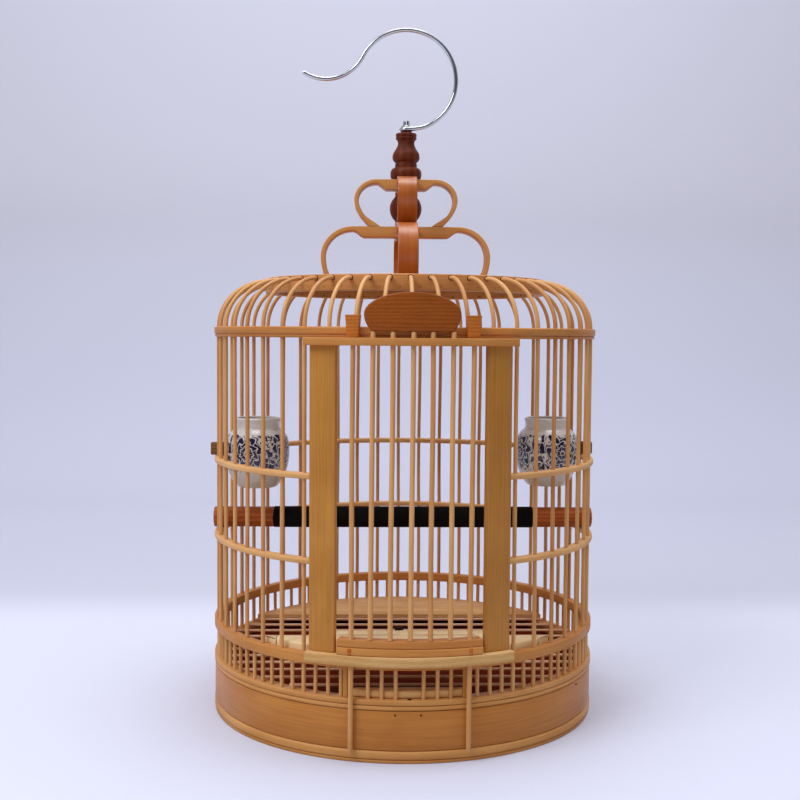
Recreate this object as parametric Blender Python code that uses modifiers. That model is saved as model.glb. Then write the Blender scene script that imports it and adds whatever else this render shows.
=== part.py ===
"""Round bamboo bird cage with a sliding door, a turned crown and a swivel hook.

Metres, +Z up, the door faces -Y. The cage's own axis is an empty, and every piece is
parented to it. Angles go round that axis from the door, towards +X.
"""
import math

import bmesh
import bpy
from mathutils import Matrix, Vector

# Fits
FIT_GAP = 0.0003
SLIDE_GAP = 0.0004
OVERRUN = 0.004
WELD = 0.00002

# Wall rods and hoops
CAGE_R = 0.166
HOOP_DEPTH = 0.008
ROD_PLACES = 48
ROD_SIDES = 5
ROD_R = 0.00155
ROD_INSET = 0.0038
DOOR_PLACES_SHARE = 0.0729
RIB_STEPS = 4

# Base, from the foot up
FOOT_H = 0.0095
BAND_H = 0.0306
BAND_BULGE = 0.0006
BEAD_H = 0.0035
RIM_H = 0.0041
RIM_LEDGE = 0.0035
BOTTOM_BOARD_DROP = 0.0066
BOTTOM_BOARD_H = 0.006

# Gallery of short bars between the rim and the lower hoop
GALLERY_H = 0.0229
GALLERY_PLACES = (0.5, 1.0, 1.5, 2.5, 3.0, 3.5)
SLIP_ANGLES = (math.radians(-17.4), math.radians(15.2))
SLIP_WIDTH = 0.0036
SLIP_DEPTH = 0.003
SOCKET_DEPTH = 0.0025

# Hoops above the gallery
LOWER_HOOP_H = 0.0081
MID_HOOP_H = 0.0046
LOWER_MID_LIFT = 0.0691
MID_HOOP_PITCH = 0.0653
SHOULDER_LIFT = 0.1078
SHOULDER_H = 0.0085

# Dome and top ring
TOP_RING_INSET = 0.044
TOP_RING_DEPTH = 0.009
TOP_RING_LIFT = 0.0287
TOP_RING_H = 0.013
RIB_DROP = 0.0028
TOP_BOARD_H = 0.005

# Door frame: sill, lintel and stiles
FRAME_PROUD = 0.008
FRAME_STEPS = 15
SILL_H = 0.0036
SILL_LIP = 0.0044
SILL_END = math.radians(27.5)
LINTEL_H = 0.005
LINTEL_END = math.radians(28.6)
STILE_ANGLE = math.radians(23.5)
STILE_WIDTH = 0.022
STILE_DEPTH = 0.005
STILE_PROUD = 0.003

# Sliding door
DOOR_PROUD = 0.0032
DOOR_BARS = 7
DOOR_BAR_R = 0.0018
DOOR_BAR_SIDES = 8
DOOR_BAR_PITCH = math.radians(5.13)
RAIL_END = math.radians(18.4)
RAIL_STEPS = 9
RAIL_FOOT_H = 0.0057
RAIL_TOP_H = 0.0056
RAIL_BACK = 0.0042
RAIL_FRONT = 0.0034
RAIL_STEP = 0.0041
TAIL_Z = 0.0092
PLAQUE_MARGIN = 0.006
PLAQUE_RISE = 0.0163
PLAQUE_FALL = 0.0237
PLAQUE_DROP = 0.0127
PLAQUE_LIFT = 0.0055
PLAQUE_DEPTH = 0.0045
PLAQUE_STEPS = 9
HEAD_H = 0.0168
HEAD_TOP = 0.0114
HEAD_FOOT = 0.0088
HEAD_DEPTH = 0.0052
HEAD_LIFT = 0.0008

# Floor grate and boards
FLOOR_ROD_R = 0.0013
FLOOR_ROD_SIDES = 6
FLOOR_RODS = 11
FLOOR_ROD_SETBACK = 0.0365
FLOOR_ROD_MARGIN = 0.0038
GRATE_BOARD_H = 0.0055
GRATE_BOARD_SETBACK = 0.0165
REAR_BOARD_SETBACK = 0.0825
THRESHOLD_DROP = 0.0045
THRESHOLD_H = 0.009
THRESHOLD_SETBACK = 0.057
THRESHOLD_LEDGE = 0.0155
THRESHOLD_LEDGE_HALF = 0.07
BOARD_STEPS = 14

# Crown: two tiers of crossed bent strips
CROWN_STEPS = 4
LOWER_TIER_H = 0.0463
LOWER_TIER_BELLY = 0.0197
LOWER_TIER_HALF = 0.074
LOWER_TIER_FOOT = 0.0715
LOWER_TIER_TOE = 0.0058
LOWER_TIER_FLAT = 0.044
LOWER_TIER_BLOCK = 0.036
LOWER_TIER_THICK = 0.0045
LOWER_TIER_CENTRE = 0.0095
LOWER_TIER_WIDTH = 0.017
UPPER_TIER_H = 0.0406
UPPER_TIER_BELLY = 0.0227
UPPER_TIER_HALF = 0.045
UPPER_TIER_FOOT = 0.032
UPPER_TIER_TOE = 0.0094
UPPER_TIER_FLAT = 0.024
UPPER_TIER_BLOCK = 0.0165
UPPER_TIER_THICK = 0.0041
UPPER_TIER_CENTRE = 0.009
UPPER_TIER_WIDTH = 0.0167
BALL_R = 0.014
BALL_NECK_R = 0.006
BALL_SIDES = 16
BALL_STEPS = 6

# Finial, pin and hook
FINIAL_R = 0.0136
FINIAL_H = 0.0415
FINIAL_SIDES = 16
FINIAL_SHARES = (
    (0.50, 1.0), (0.52, 0.95), (0.67, 0.93), (0.68, 0.86), (0.62, 0.84), (0.68, 0.82),
    (0.67, 0.75), (0.54, 0.70), (0.71, 0.61), (0.88, 0.47), (0.83, 0.37), (0.72, 0.33),
    (0.73, 0.25), (0.94, 0.21), (1.0, 0.12), (0.93, 0.0),
)
PIN_R = 0.0018
PIN_DEPTH = 0.014
PIN_HEAD_R = 0.0032
PIN_HEAD_H = 0.0026
PIN_SIDES = 12
HOOK_WIRE_R = 0.00185
HOOK_EYE_R = 0.0043
HOOK_EYE_WRAP = math.radians(258)
HOOK_EYE_STEPS = 10
HOOK_BEND_R = 0.0432
HOOK_BEND_RISE = 0.0426
HOOK_BEND_START = math.radians(30)
HOOK_BEND_END = math.radians(242.75)
HOOK_BEND_STEPS = 18
HOOK_BRIDGE_STEPS = 4
HOOK_TIP_R = 0.0362
HOOK_TIP_WRAP = math.radians(95.5)
HOOK_TIP_STEPS = 8

# Perch
PERCH_R = 0.0089
PERCH_OVERHANG = 0.0015
PERCH_SIDES = 16
PERCH_SLOT_DEPTH = 0.0012
SLEEVE_R = 0.0093
SLEEVE_WALL = 0.0008
SLEEVE_SETBACK = 0.052

# Cups
CUP_R = 0.0279
CUP_H = 0.060
CUP_DROP = 0.023
CUP_WALL = 0.0024
CUP_INSET = 0.037
CUP_SIDES = 16
CUP_PLACES = (-11.5, 12.5)
CUP_SHARES = (
    (0.73, 1.0), (0.72, 0.875), (0.91, 0.79), (0.99, 0.66),
    (1.0, 0.42), (0.96, 0.22), (0.70, 0.03), (0.67, 0.0), (0.0, 0.0),
)
LUG_WIDTH = 0.010
LUG_H = 0.0106
LUG_REACH = 0.0035
LUG_ROOT = 0.0075

# Places that follow from the sizes above
PITCH = 2 * math.pi / ROD_PLACES
HALF_PITCH = PITCH / 2
FACET = math.cos(HALF_PITCH)
ROD_CIRCLE_R = CAGE_R - ROD_INSET
HOOP_IN_R = CAGE_R - HOOP_DEPTH
TOP_RING_R = CAGE_R - TOP_RING_INSET
FRAME_R = CAGE_R + FRAME_PROUD
DOOR_R = CAGE_R + DOOR_PROUD
CUP_CIRCLE_R = CAGE_R - CUP_INSET
BOTTOM_BOARD_Z = FOOT_H + BAND_H - BOTTOM_BOARD_DROP
RIM_Z = FOOT_H + BAND_H + BEAD_H + 3 * FIT_GAP
RIM_TOP = RIM_Z + RIM_H
LOWER_HOOP_Z = RIM_TOP + GALLERY_H
LOWER_HOOP_TOP = LOWER_HOOP_Z + LOWER_HOOP_H
SILL_TOP = LOWER_HOOP_TOP + FIT_GAP + SILL_H
LOWER_MID_Z = LOWER_HOOP_TOP + LOWER_MID_LIFT
UPPER_MID_Z = LOWER_MID_Z + MID_HOOP_PITCH
SHOULDER_Z = UPPER_MID_Z + SHOULDER_LIFT
SHOULDER_TOP = SHOULDER_Z + SHOULDER_H
LINTEL_TOP = SHOULDER_Z - FIT_GAP
LINTEL_Z = LINTEL_TOP - LINTEL_H
TOP_RING_Z = SHOULDER_TOP + TOP_RING_LIFT
TOP_RING_TOP = TOP_RING_Z + TOP_RING_H
RIB_END_R = TOP_RING_R * FACET + FIT_GAP
RIB_END_Z = TOP_RING_TOP - RIB_DROP
RAIL_Z = SILL_TOP + FIT_GAP
RAIL_TOP = RAIL_Z + RAIL_FOOT_H + RAIL_TOP_H
FLOOR_R = ROD_CIRCLE_R - ROD_R - FIT_GAP
FLOOR_Z = RIM_TOP + FIT_GAP
GRATE_FRONT_Y = GRATE_BOARD_SETBACK - CAGE_R
FLOOR_FRONT_Y = FLOOR_ROD_SETBACK - CAGE_R
REAR_BOARD_Y = CAGE_R - REAR_BOARD_SETBACK
FLOOR_PITCH = (REAR_BOARD_Y - FLOOR_ROD_MARGIN - FLOOR_FRONT_Y) / (FLOOR_RODS - 1)
THRESHOLD_Y = THRESHOLD_SETBACK - CAGE_R
PLAQUE_Z = LINTEL_TOP + PLAQUE_LIFT
PLAQUE_HALF = DOOR_R * math.sin((DOOR_BARS - 3) / 2 * DOOR_BAR_PITCH) + PLAQUE_MARGIN
LOWER_TIER_Z = TOP_RING_TOP + FIT_GAP
LOWER_TIER_TOP = LOWER_TIER_Z + LOWER_TIER_H
UPPER_TIER_Z = LOWER_TIER_TOP + FIT_GAP
UPPER_TIER_TOP = UPPER_TIER_Z + UPPER_TIER_H
FINIAL_Z = UPPER_TIER_TOP + FIT_GAP
FINIAL_TOP = FINIAL_Z + FINIAL_H
HOOK_EYE_Z = FINIAL_TOP + FIT_GAP + HOOK_WIRE_R
PERCH_Z = LOWER_MID_Z + MID_HOOP_H + FIT_GAP + PERCH_R
PERCH_LENGTH = 2 * (CAGE_R + PERCH_OVERHANG)
SLEEVE_LENGTH = PERCH_LENGTH - 2 * SLEEVE_SETBACK
CUP_Z = UPPER_MID_Z - CUP_DROP
FRAME_FRONT = FRAME_R * math.cos(SILL_END / FRAME_STEPS)
AXIS_Y = (FRAME_FRONT - CAGE_R * FACET) / 2

# Finishes: colour, roughness, metallic
FINISHES = {
    "bamboo": ((0.70, 0.47, 0.26), 0.45, 0.0),
    "bamboo_slip": ((0.66, 0.46, 0.18), 0.40, 0.0),
    "base_wood": ((0.60, 0.36, 0.15), 0.35, 0.0),
    "pale_wood": ((0.80, 0.64, 0.42), 0.50, 0.0),
    "red_wood": ((0.48, 0.24, 0.09), 0.35, 0.0),
    "dark_wood": ((0.25, 0.09, 0.05), 0.35, 0.0),
    "maroon_board": ((0.18, 0.05, 0.03), 0.50, 0.0),
    "emery": ((0.02, 0.02, 0.02), 0.85, 0.0),
    "porcelain": ((0.85, 0.86, 0.88), 0.12, 0.0),
    "steel": ((0.75, 0.75, 0.76), 0.18, 1.0),
}


def clear_scene():
    """Remove every object of the scene that the script starts in."""
    for obj in list(bpy.data.objects):
        bpy.data.objects.remove(obj, do_unlink=True)


def make_collection(name):
    """Return a new collection linked to the scene."""
    group = bpy.data.collections.new(name)
    bpy.context.scene.collection.children.link(group)
    return group


def make_material(name):
    """Return the named finish as a Principled material."""
    colour, roughness, metallic = FINISHES[name]
    material = bpy.data.materials.new(name)
    material.use_nodes = True
    shader = material.node_tree.nodes["Principled BSDF"]
    shader.inputs["Base Color"].default_value = (*colour, 1.0)
    shader.inputs["Roughness"].default_value = roughness
    shader.inputs["Metallic"].default_value = metallic
    material.diffuse_color = (*colour, 1.0)
    return material


def polar(radius, angle):
    """Return x and y on a circle round the cage, at an angle from the door."""
    return radius * math.sin(angle), -radius * math.cos(angle)


def arc(radius, start, end, steps):
    """Return the points of an arc round the cage."""
    return [polar(radius, start + (end - start) * i / steps) for i in range(steps + 1)]


class Bench:
    """Where the pieces are made: collections, finishes and the cage's axis."""

    def __init__(self):
        self.parts = make_collection("bamboo_bird_cage")
        self.cutters = make_collection("cutters")
        self.finishes = {name: make_material(name) for name in FINISHES}
        self.axis = bpy.data.objects.new("cage_axis", None)
        self.axis.location = (0.0, AXIS_Y, 0.0)
        self.parts.objects.link(self.axis)

    def place(self, name, mesh, finish):
        """Add a piece, or a cutter where finish is None, on the cage's axis."""
        obj = bpy.data.objects.new(name, mesh)
        if finish is None:
            self.cutters.objects.link(obj)
            obj.display_type = "WIRE"
            obj.hide_render = True
        else:
            self.parts.objects.link(obj)
            mesh.materials.append(self.finishes[finish])
            mesh.shade_smooth()
            mesh.set_sharp_from_angle(angle=math.radians(30))
        obj.parent = self.axis
        return obj

    def turn(self, name, profile, finish, sides=ROD_PLACES, ring=False):
        """Turn a profile of (radius, height) points, which runs down its outer side."""
        last = len(profile) - 1
        edges = [(i, i + 1) for i in range(last)]
        if ring:
            edges.append((last, 0))
        mesh = bpy.data.meshes.new(name)
        mesh.from_pydata([(r, 0.0, z) for r, z in profile], edges, [])
        shape = bpy.data.objects.new(name, mesh)
        self.cutters.objects.link(shape)
        screw = shape.modifiers.new("Turn", "SCREW")
        screw.steps = sides
        screw.render_steps = sides
        screw.use_merge_vertices = True
        screw.merge_threshold = WELD
        return self.place(name, self.settle(shape), finish)

    def hoop(self, name, low, height, finish, outer=CAGE_R, depth=HOOP_DEPTH, bulge=0.0):
        """Turn a flat hoop whose facets face the wall rods."""
        high = low + height
        side = [(outer - bulge, high), (outer - bulge, low)]
        if bulge:
            side.insert(1, (outer, low + height / 2))
        profile = side + [(outer - depth, low), (outer - depth, high)]
        obj = self.turn(name, profile, finish, ring=True)
        obj.rotation_euler.z = HALF_PITCH
        return obj

    def disc(self, name, radius, low, height, finish):
        """Turn a flat disc whose facets face the wall rods."""
        high = low + height
        profile = [(0.0, high), (radius, high), (radius, low), (0.0, low)]
        obj = self.turn(name, profile, finish)
        obj.rotation_euler.z = HALF_PITCH
        return obj

    def settle(self, obj):
        """Return the object's shape as a welded mesh that faces out, and remove the object."""
        graph = bpy.context.evaluated_depsgraph_get()
        mesh = bpy.data.meshes.new_from_object(obj.evaluated_get(graph))
        mesh.materials.clear()
        work = bmesh.new()
        work.from_mesh(mesh)
        bmesh.ops.remove_doubles(work, verts=work.verts, dist=WELD)
        bmesh.ops.recalc_face_normals(work, faces=work.faces)
        work.to_mesh(mesh)
        work.free()
        bpy.data.objects.remove(obj, do_unlink=True)
        return mesh

    def bent_bar(self, name, profile, start, end, steps, finish):
        """Sweep a closed profile of (radius, height) points along an arc round the cage."""
        work = bmesh.new()
        corners = []
        for radius, height in profile:
            corners.append(work.verts.new((*polar(radius, start), height)))
        face = work.faces.new(corners)
        geometry = [face, *face.edges, *face.verts]
        bmesh.ops.spin(work, geom=geometry, cent=(0.0, 0.0, 0.0), axis=(0.0, 0.0, 1.0),
                       angle=end - start, steps=steps, use_merge=False)
        bmesh.ops.recalc_face_normals(work, faces=work.faces)
        mesh = bpy.data.meshes.new(name)
        work.to_mesh(mesh)
        work.free()
        return self.place(name, mesh, finish)

    def plate(self, name, outline, low, height, finish, upright=False):
        """Fill a flat outline and give it a thickness, lying flat or standing in XZ."""
        curve = bpy.data.curves.new(name, "CURVE")
        curve.dimensions = "2D"
        curve.fill_mode = "BOTH"
        curve.extrude = height / 2
        spline = curve.splines.new("POLY")
        spline.points.add(len(outline) - 1)
        for point, (x, y) in zip(spline.points, outline):
            point.co = (x, y, 0.0, 1.0)
        spline.use_cyclic_u = True
        shape = bpy.data.objects.new(name, curve)
        self.cutters.objects.link(shape)
        mesh = self.settle(shape)
        if upright:
            mesh.transform(Matrix.Rotation(math.pi / 2, 4, "X"))
        else:
            mesh.transform(Matrix.Translation((0.0, 0.0, low + height / 2)))
        return self.place(name, mesh, finish)

    def box(self, name, size, centre, finish, angle=0.0):
        """Make a box of a size round a centre, turned about the cage's axis."""
        work = bmesh.new()
        bmesh.ops.create_cube(work, size=1.0)
        bmesh.ops.scale(work, vec=size, verts=work.verts)
        bmesh.ops.translate(work, vec=centre, verts=work.verts)
        bmesh.ops.rotate(work, cent=(0.0, 0.0, 0.0), verts=work.verts,
                         matrix=Matrix.Rotation(angle, 3, "Z"))
        mesh = bpy.data.meshes.new(name)
        work.to_mesh(mesh)
        work.free()
        return self.place(name, mesh, finish)

    def bar(self, name, radius, sides, start, end, finish):
        """Make a straight round bar between two points."""
        start, end = Vector(start), Vector(end)
        run = end - start
        turn = Vector((0.0, 0.0, 1.0)).rotation_difference(run).to_matrix().to_4x4()
        work = bmesh.new()
        bmesh.ops.create_cone(work, cap_ends=True, segments=sides, radius1=radius, radius2=radius,
                              depth=run.length, matrix=Matrix.Translation((start + end) / 2) @ turn)
        mesh = bpy.data.meshes.new(name)
        work.to_mesh(mesh)
        work.free()
        return self.place(name, mesh, finish)

    def rod_mesh(self, path, radius):
        """Sweep the rods' section along a path in the XZ plane."""
        ring = bpy.data.curves.new("rod_section", "CURVE")
        spline = ring.splines.new("POLY")
        spline.points.add(ROD_SIDES - 1)
        for i, point in enumerate(spline.points):
            turn = 2 * math.pi * i / ROD_SIDES
            point.co = (radius * math.cos(turn), radius * math.sin(turn), 0.0, 1.0)
        spline.use_cyclic_u = True
        section = bpy.data.objects.new("rod_section", ring)
        self.cutters.objects.link(section)
        curve = bpy.data.curves.new("rod_path", "CURVE")
        curve.dimensions = "3D"
        curve.bevel_mode = "OBJECT"
        curve.bevel_object = section
        curve.use_fill_caps = True
        line = curve.splines.new("POLY")
        line.points.add(len(path) - 1)
        for point, (x, z) in zip(line.points, path):
            point.co = (x, 0.0, z, 1.0)
        shape = bpy.data.objects.new("rod_path", curve)
        self.cutters.objects.link(shape)
        mesh = self.settle(shape)
        bpy.data.objects.remove(section, do_unlink=True)
        return mesh

    def round_cage(self, name, mesh, places, finish=None):
        """Join copies of a mesh made at +X, one at each place round the cage."""
        work = bmesh.new()
        for place in places:
            copy = mesh.copy()
            copy.transform(Matrix.Rotation(place * PITCH - math.pi / 2, 4, "Z"))
            work.from_mesh(copy)
            bpy.data.meshes.remove(copy)
        joined = bpy.data.meshes.new(name)
        work.to_mesh(joined)
        work.free()
        return self.place(name, joined, finish)


def combine(obj, other, operation):
    """Add an exact Boolean to a piece."""
    modifier = obj.modifiers.new(operation.title(), "BOOLEAN")
    modifier.solver = "EXACT"
    modifier.operation = operation
    modifier.object = other
    return obj


def cut(obj, *cutters):
    """Cut shapes out of a piece."""
    for cutter in cutters:
        combine(obj, cutter, "DIFFERENCE")
    return obj


def join(obj, *others):
    """Fuse shapes to the piece that carries them."""
    for other in others:
        combine(obj, other, "UNION")
    return obj


def wall_places():
    """Return the places of the full rods and of the ribs above the door."""
    door = round(DOOR_PLACES_SHARE * ROD_PLACES)
    half = ROD_PLACES // 2
    ribs = [k for k in range(-half + 1, half + 1) if abs(k) <= door]
    rods = [k for k in range(-half + 1, half + 1) if abs(k) > door]
    return rods, ribs


def rod_path(low):
    """Go straight up from a height and bend over to the top ring on a quarter ellipse."""
    path = [(ROD_CIRCLE_R, low)]
    reach = ROD_CIRCLE_R - RIB_END_R
    rise = RIB_END_Z - SHOULDER_TOP
    for i in range(RIB_STEPS + 1):
        turn = math.pi / 2 * i / RIB_STEPS
        path.append((RIB_END_R + reach * math.cos(turn), SHOULDER_TOP + rise * math.sin(turn)))
    return path


def build_base(bench):
    """Foot hoop, wide band, bead hoop and the bottom board inside the band."""
    bench.hoop("foot_hoop", 0.0, FOOT_H, "base_wood")
    band_z = FOOT_H + FIT_GAP
    bench.hoop("base_band", band_z, BAND_H, "base_wood", bulge=BAND_BULGE)
    bench.hoop("bead_hoop", band_z + BAND_H + FIT_GAP, BEAD_H, "base_wood")
    bench.disc("bottom_board", HOOP_IN_R - FIT_GAP, BOTTOM_BOARD_Z, BOTTOM_BOARD_H, "maroon_board")


def build_wall(bench):
    """Rim with the rods that stand in it, and the pierced hoops threaded on the rods."""
    rods, ribs = wall_places()
    clear_r = ROD_R + FIT_GAP / math.cos(math.pi / ROD_SIDES)
    rod_low = RIM_Z + RIM_H / 2
    rod_set = bench.round_cage("rod_set", bench.rod_mesh(rod_path(rod_low), ROD_R), rods)
    hole_path = [(ROD_CIRCLE_R, rod_low), (ROD_CIRCLE_R, SHOULDER_TOP + OVERRUN)]
    hole_set = bench.round_cage("hole_set", bench.rod_mesh(hole_path, clear_r), rods)

    rim = bench.hoop("base_rim", RIM_Z, RIM_H, "bamboo", depth=HOOP_DEPTH + RIM_LEDGE)
    socket_path = [(ROD_CIRCLE_R, RIM_TOP - SOCKET_DEPTH), (ROD_CIRCLE_R, RIM_TOP + OVERRUN)]
    socket = bench.round_cage("socket_set", bench.rod_mesh(socket_path, ROD_R), (0,))
    cut(join(rim, rod_set), socket)

    lower = bench.hoop("lower_hoop", LOWER_HOOP_Z, LOWER_HOOP_H, "bamboo")
    bar_path = [(ROD_CIRCLE_R, RIM_TOP + FIT_GAP), (ROD_CIRCLE_R, LOWER_HOOP_Z + LOWER_HOOP_H / 2)]
    between = [k + 0.5 for k in rods if k + 1 in rods or k == ROD_PLACES // 2]
    door_bars = [side * place for side in (-1, 1) for place in GALLERY_PLACES]
    bar_set = bench.round_cage("bar_set", bench.rod_mesh(bar_path, ROD_R), between + door_bars)
    join(cut(lower, hole_set), bar_set)

    stile_back = CAGE_R + STILE_PROUD - STILE_DEPTH
    mouth = STILE_ANGLE + math.asin((STILE_WIDTH / 2 + FIT_GAP) / stile_back)
    reach = CAGE_R + OVERRUN
    wedge = [(0.0, 0.0), polar(2 * reach, -mouth), polar(2 * reach, mouth)]
    for name, low in (("lower_mid_hoop", LOWER_MID_Z), ("upper_mid_hoop", UPPER_MID_Z)):
        gap = bench.plate(name + "_gap", wedge, low - OVERRUN, MID_HOOP_H + 2 * OVERRUN, None)
        cut(bench.hoop(name, low, MID_HOOP_H, "bamboo"), gap, hole_set)

    rib_mesh = bench.rod_mesh(rod_path(SHOULDER_Z + SHOULDER_H / 2), ROD_R)
    rib_set = bench.round_cage("rib_set", rib_mesh, ribs)
    shoulder = bench.hoop("shoulder_hoop", SHOULDER_Z, SHOULDER_H, "bamboo")
    join(cut(shoulder, hole_set), rib_set)
    return hole_set


def build_gallery_slips(bench):
    """Flat slips between the rim and the lower hoop, below the door's outer bars."""
    height = GALLERY_H - 2 * FIT_GAP
    for angle, name in zip(SLIP_ANGLES, ("gallery_slip_left", "gallery_slip_right")):
        centre = (0.0, -ROD_CIRCLE_R, RIM_TOP + FIT_GAP + height / 2)
        bench.box(name, (SLIP_WIDTH, SLIP_DEPTH, height), centre, "bamboo_slip", angle)


def build_top(bench):
    """Ring that takes the ribs, and the round board inside it."""
    bench.hoop("top_ring", TOP_RING_Z, TOP_RING_H, "base_wood", TOP_RING_R, TOP_RING_DEPTH)
    board_r = TOP_RING_R - TOP_RING_DEPTH - FIT_GAP
    bench.disc("top_board", board_r, TOP_RING_TOP - TOP_BOARD_H, TOP_BOARD_H, "base_wood")


def build_door_frame(bench, hole_set):
    """Bent sill and lintel with the holes that guide the door, and the flat stiles."""
    inner = HOOP_IN_R + FIT_GAP
    lip_r = CAGE_R + 2 * FIT_GAP
    step = LOWER_HOOP_TOP + FIT_GAP
    profile = [(inner, SILL_TOP), (FRAME_R, SILL_TOP), (FRAME_R, step - SILL_LIP),
               (lip_r, step - SILL_LIP), (lip_r, step), (inner, step)]
    sill = bench.bent_bar("sill_board", profile, -SILL_END, SILL_END, FRAME_STEPS, "pale_wood")
    profile = [(inner, LINTEL_TOP), (FRAME_R, LINTEL_TOP), (FRAME_R, LINTEL_Z), (inner, LINTEL_Z)]
    lintel = bench.bent_bar("lintel", profile, -LINTEL_END, LINTEL_END, FRAME_STEPS, "bamboo")
    guides = door_guides(bench)
    cut(sill, hole_set, guides[0], guides[-1])
    cut(lintel, *guides)

    height = LINTEL_Z - SILL_TOP - 2 * FIT_GAP
    centre_y = -(CAGE_R + STILE_PROUD - STILE_DEPTH / 2)
    for side, name in ((-1, "stile_left"), (1, "stile_right")):
        centre = (0.0, centre_y, SILL_TOP + FIT_GAP + height / 2)
        stile = bench.box(name, (STILE_WIDTH, STILE_DEPTH, height), centre, "bamboo_slip",
                          side * STILE_ANGLE)
        bevel = stile.modifiers.new("Edge", "BEVEL")
        bevel.width = STILE_DEPTH / 6
        bevel.segments = 1
    return guides


def bar_places():
    """Return the x and y of the door's bars, from left to right."""
    middle = (DOOR_BARS - 1) / 2
    return [polar(DOOR_R, (i - middle) * DOOR_BAR_PITCH) for i in range(DOOR_BARS)]


def door_guides(bench):
    """Cutters for the holes that the door's bars run in."""
    guides = []
    for i, (x, y) in enumerate(bar_places()):
        guides.append(bench.bar(f"guide_{i + 1}", DOOR_BAR_R + SLIDE_GAP, DOOR_BAR_SIDES,
                                (x, y, 0.0), (x, y, SHOULDER_TOP), None))
    return guides


def build_door(bench, guides):
    """Stepped rail, seven bars, an oval plaque on five of them and a head on each outer one."""
    back = DOOR_R - RAIL_BACK
    front = DOOR_R + RAIL_FRONT
    step = RAIL_Z + RAIL_FOOT_H
    profile = [(back, RAIL_TOP), (front, RAIL_TOP), (front, step), (front - RAIL_STEP, step),
               (front - RAIL_STEP, RAIL_Z), (back, RAIL_Z)]
    rail = bench.bent_bar("door_rail", profile, -RAIL_END, RAIL_END, RAIL_STEPS, "bamboo")
    cut(rail, guides[0], guides[-1])

    head_z = LINTEL_TOP + HEAD_LIFT
    places = bar_places()
    for i, (x, y) in enumerate(places):
        if i in (0, DOOR_BARS - 1):
            low, high = TAIL_Z, head_z - FIT_GAP
        else:
            low, high = RAIL_TOP + FIT_GAP, PLAQUE_Z - FIT_GAP
        bench.bar(f"door_bar_{i + 1}", DOOR_BAR_R, DOOR_BAR_SIDES, (x, y, low), (x, y, high), "bamboo")

    for side, name in ((-1, "door_head_left"), (1, "door_head_right")):
        angle = side * (DOOR_BARS - 1) / 2 * DOOR_BAR_PITCH
        outline = [(-HEAD_FOOT / 2, head_z), (HEAD_FOOT / 2, head_z),
                   (HEAD_TOP / 2, head_z + HEAD_H), (-HEAD_TOP / 2, head_z + HEAD_H)]
        head = bench.plate(name, outline, 0.0, HEAD_DEPTH, "red_wood", upright=True)
        head.data.transform(Matrix.Translation((0.0, -DOOR_R, 0.0)))
        head.rotation_euler.z = angle
    build_plaque(bench)


def build_plaque(bench):
    """Bend a board round the cage and cut it to an oval with a flat foot."""
    widest = PLAQUE_Z + PLAQUE_DROP
    foot = math.asin(PLAQUE_DROP / PLAQUE_FALL)
    outline = []
    for i in range(PLAQUE_STEPS * 2 + 1):
        turn = -foot + (math.pi + 2 * foot) * i / (PLAQUE_STEPS * 2)
        reach = PLAQUE_RISE if turn > 0 and turn < math.pi else PLAQUE_FALL
        outline.append((PLAQUE_HALF * math.cos(turn), widest + reach * math.sin(turn)))
    half = PLAQUE_DEPTH / 2
    high = widest + PLAQUE_RISE + OVERRUN
    low = PLAQUE_Z - OVERRUN
    profile = [(DOOR_R - half, high), (DOOR_R + half, high), (DOOR_R + half, low), (DOOR_R - half, low)]
    end = math.asin((PLAQUE_HALF + OVERRUN) / DOOR_R)
    plaque = bench.bent_bar("door_plaque", profile, -end, end, PLAQUE_STEPS, "red_wood")
    oval = bench.plate("plaque_oval", outline, 0.0, 2 * FRAME_R, None, upright=True)
    oval.location.y = -FRAME_R
    combine(plaque, oval, "INTERSECT")


def segment_outline(radius, chord_y):
    """Return the outline of the part of a disc that lies beyond a chord, towards -Y or +Y."""
    half = math.acos(min(1.0, abs(chord_y) / radius))
    middle = 0.0 if chord_y < 0 else math.pi
    return arc(radius, middle - half, middle + half, BOARD_STEPS)


def build_floor(bench):
    """Loose grate of thin rods on the rim, with its boards, and the threshold with its ledge."""
    height = FLOOR_Z + FLOOR_ROD_R
    for i in range(FLOOR_RODS):
        y = FLOOR_FRONT_Y + i * FLOOR_PITCH
        edge = abs(y) + FLOOR_ROD_R
        half = math.sqrt(FLOOR_R ** 2 - edge ** 2)
        bench.bar(f"floor_rod_{i + 1:02d}", FLOOR_ROD_R, FLOOR_ROD_SIDES,
                  (-half, y, height), (half, y, height), "bamboo")
    outline = segment_outline(FLOOR_R, GRATE_FRONT_Y)
    bench.plate("grate_front_board", outline, FLOOR_Z, GRATE_BOARD_H, "pale_wood")
    outline = segment_outline(FLOOR_R, REAR_BOARD_Y)
    bench.plate("rear_floor_board", outline, FLOOR_Z, GRATE_BOARD_H, "pale_wood")
    low = LOWER_HOOP_TOP - THRESHOLD_DROP
    outline = segment_outline((HOOP_IN_R - FIT_GAP) * FACET, THRESHOLD_Y)
    ledge_y = THRESHOLD_Y + THRESHOLD_LEDGE
    outline += [(THRESHOLD_LEDGE_HALF, THRESHOLD_Y), (THRESHOLD_LEDGE_HALF, ledge_y),
                (-THRESHOLD_LEDGE_HALF, ledge_y), (-THRESHOLD_LEDGE_HALF, THRESHOLD_Y)]
    bench.plate("threshold_board", outline, low, THRESHOLD_H, "pale_wood")


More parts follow.
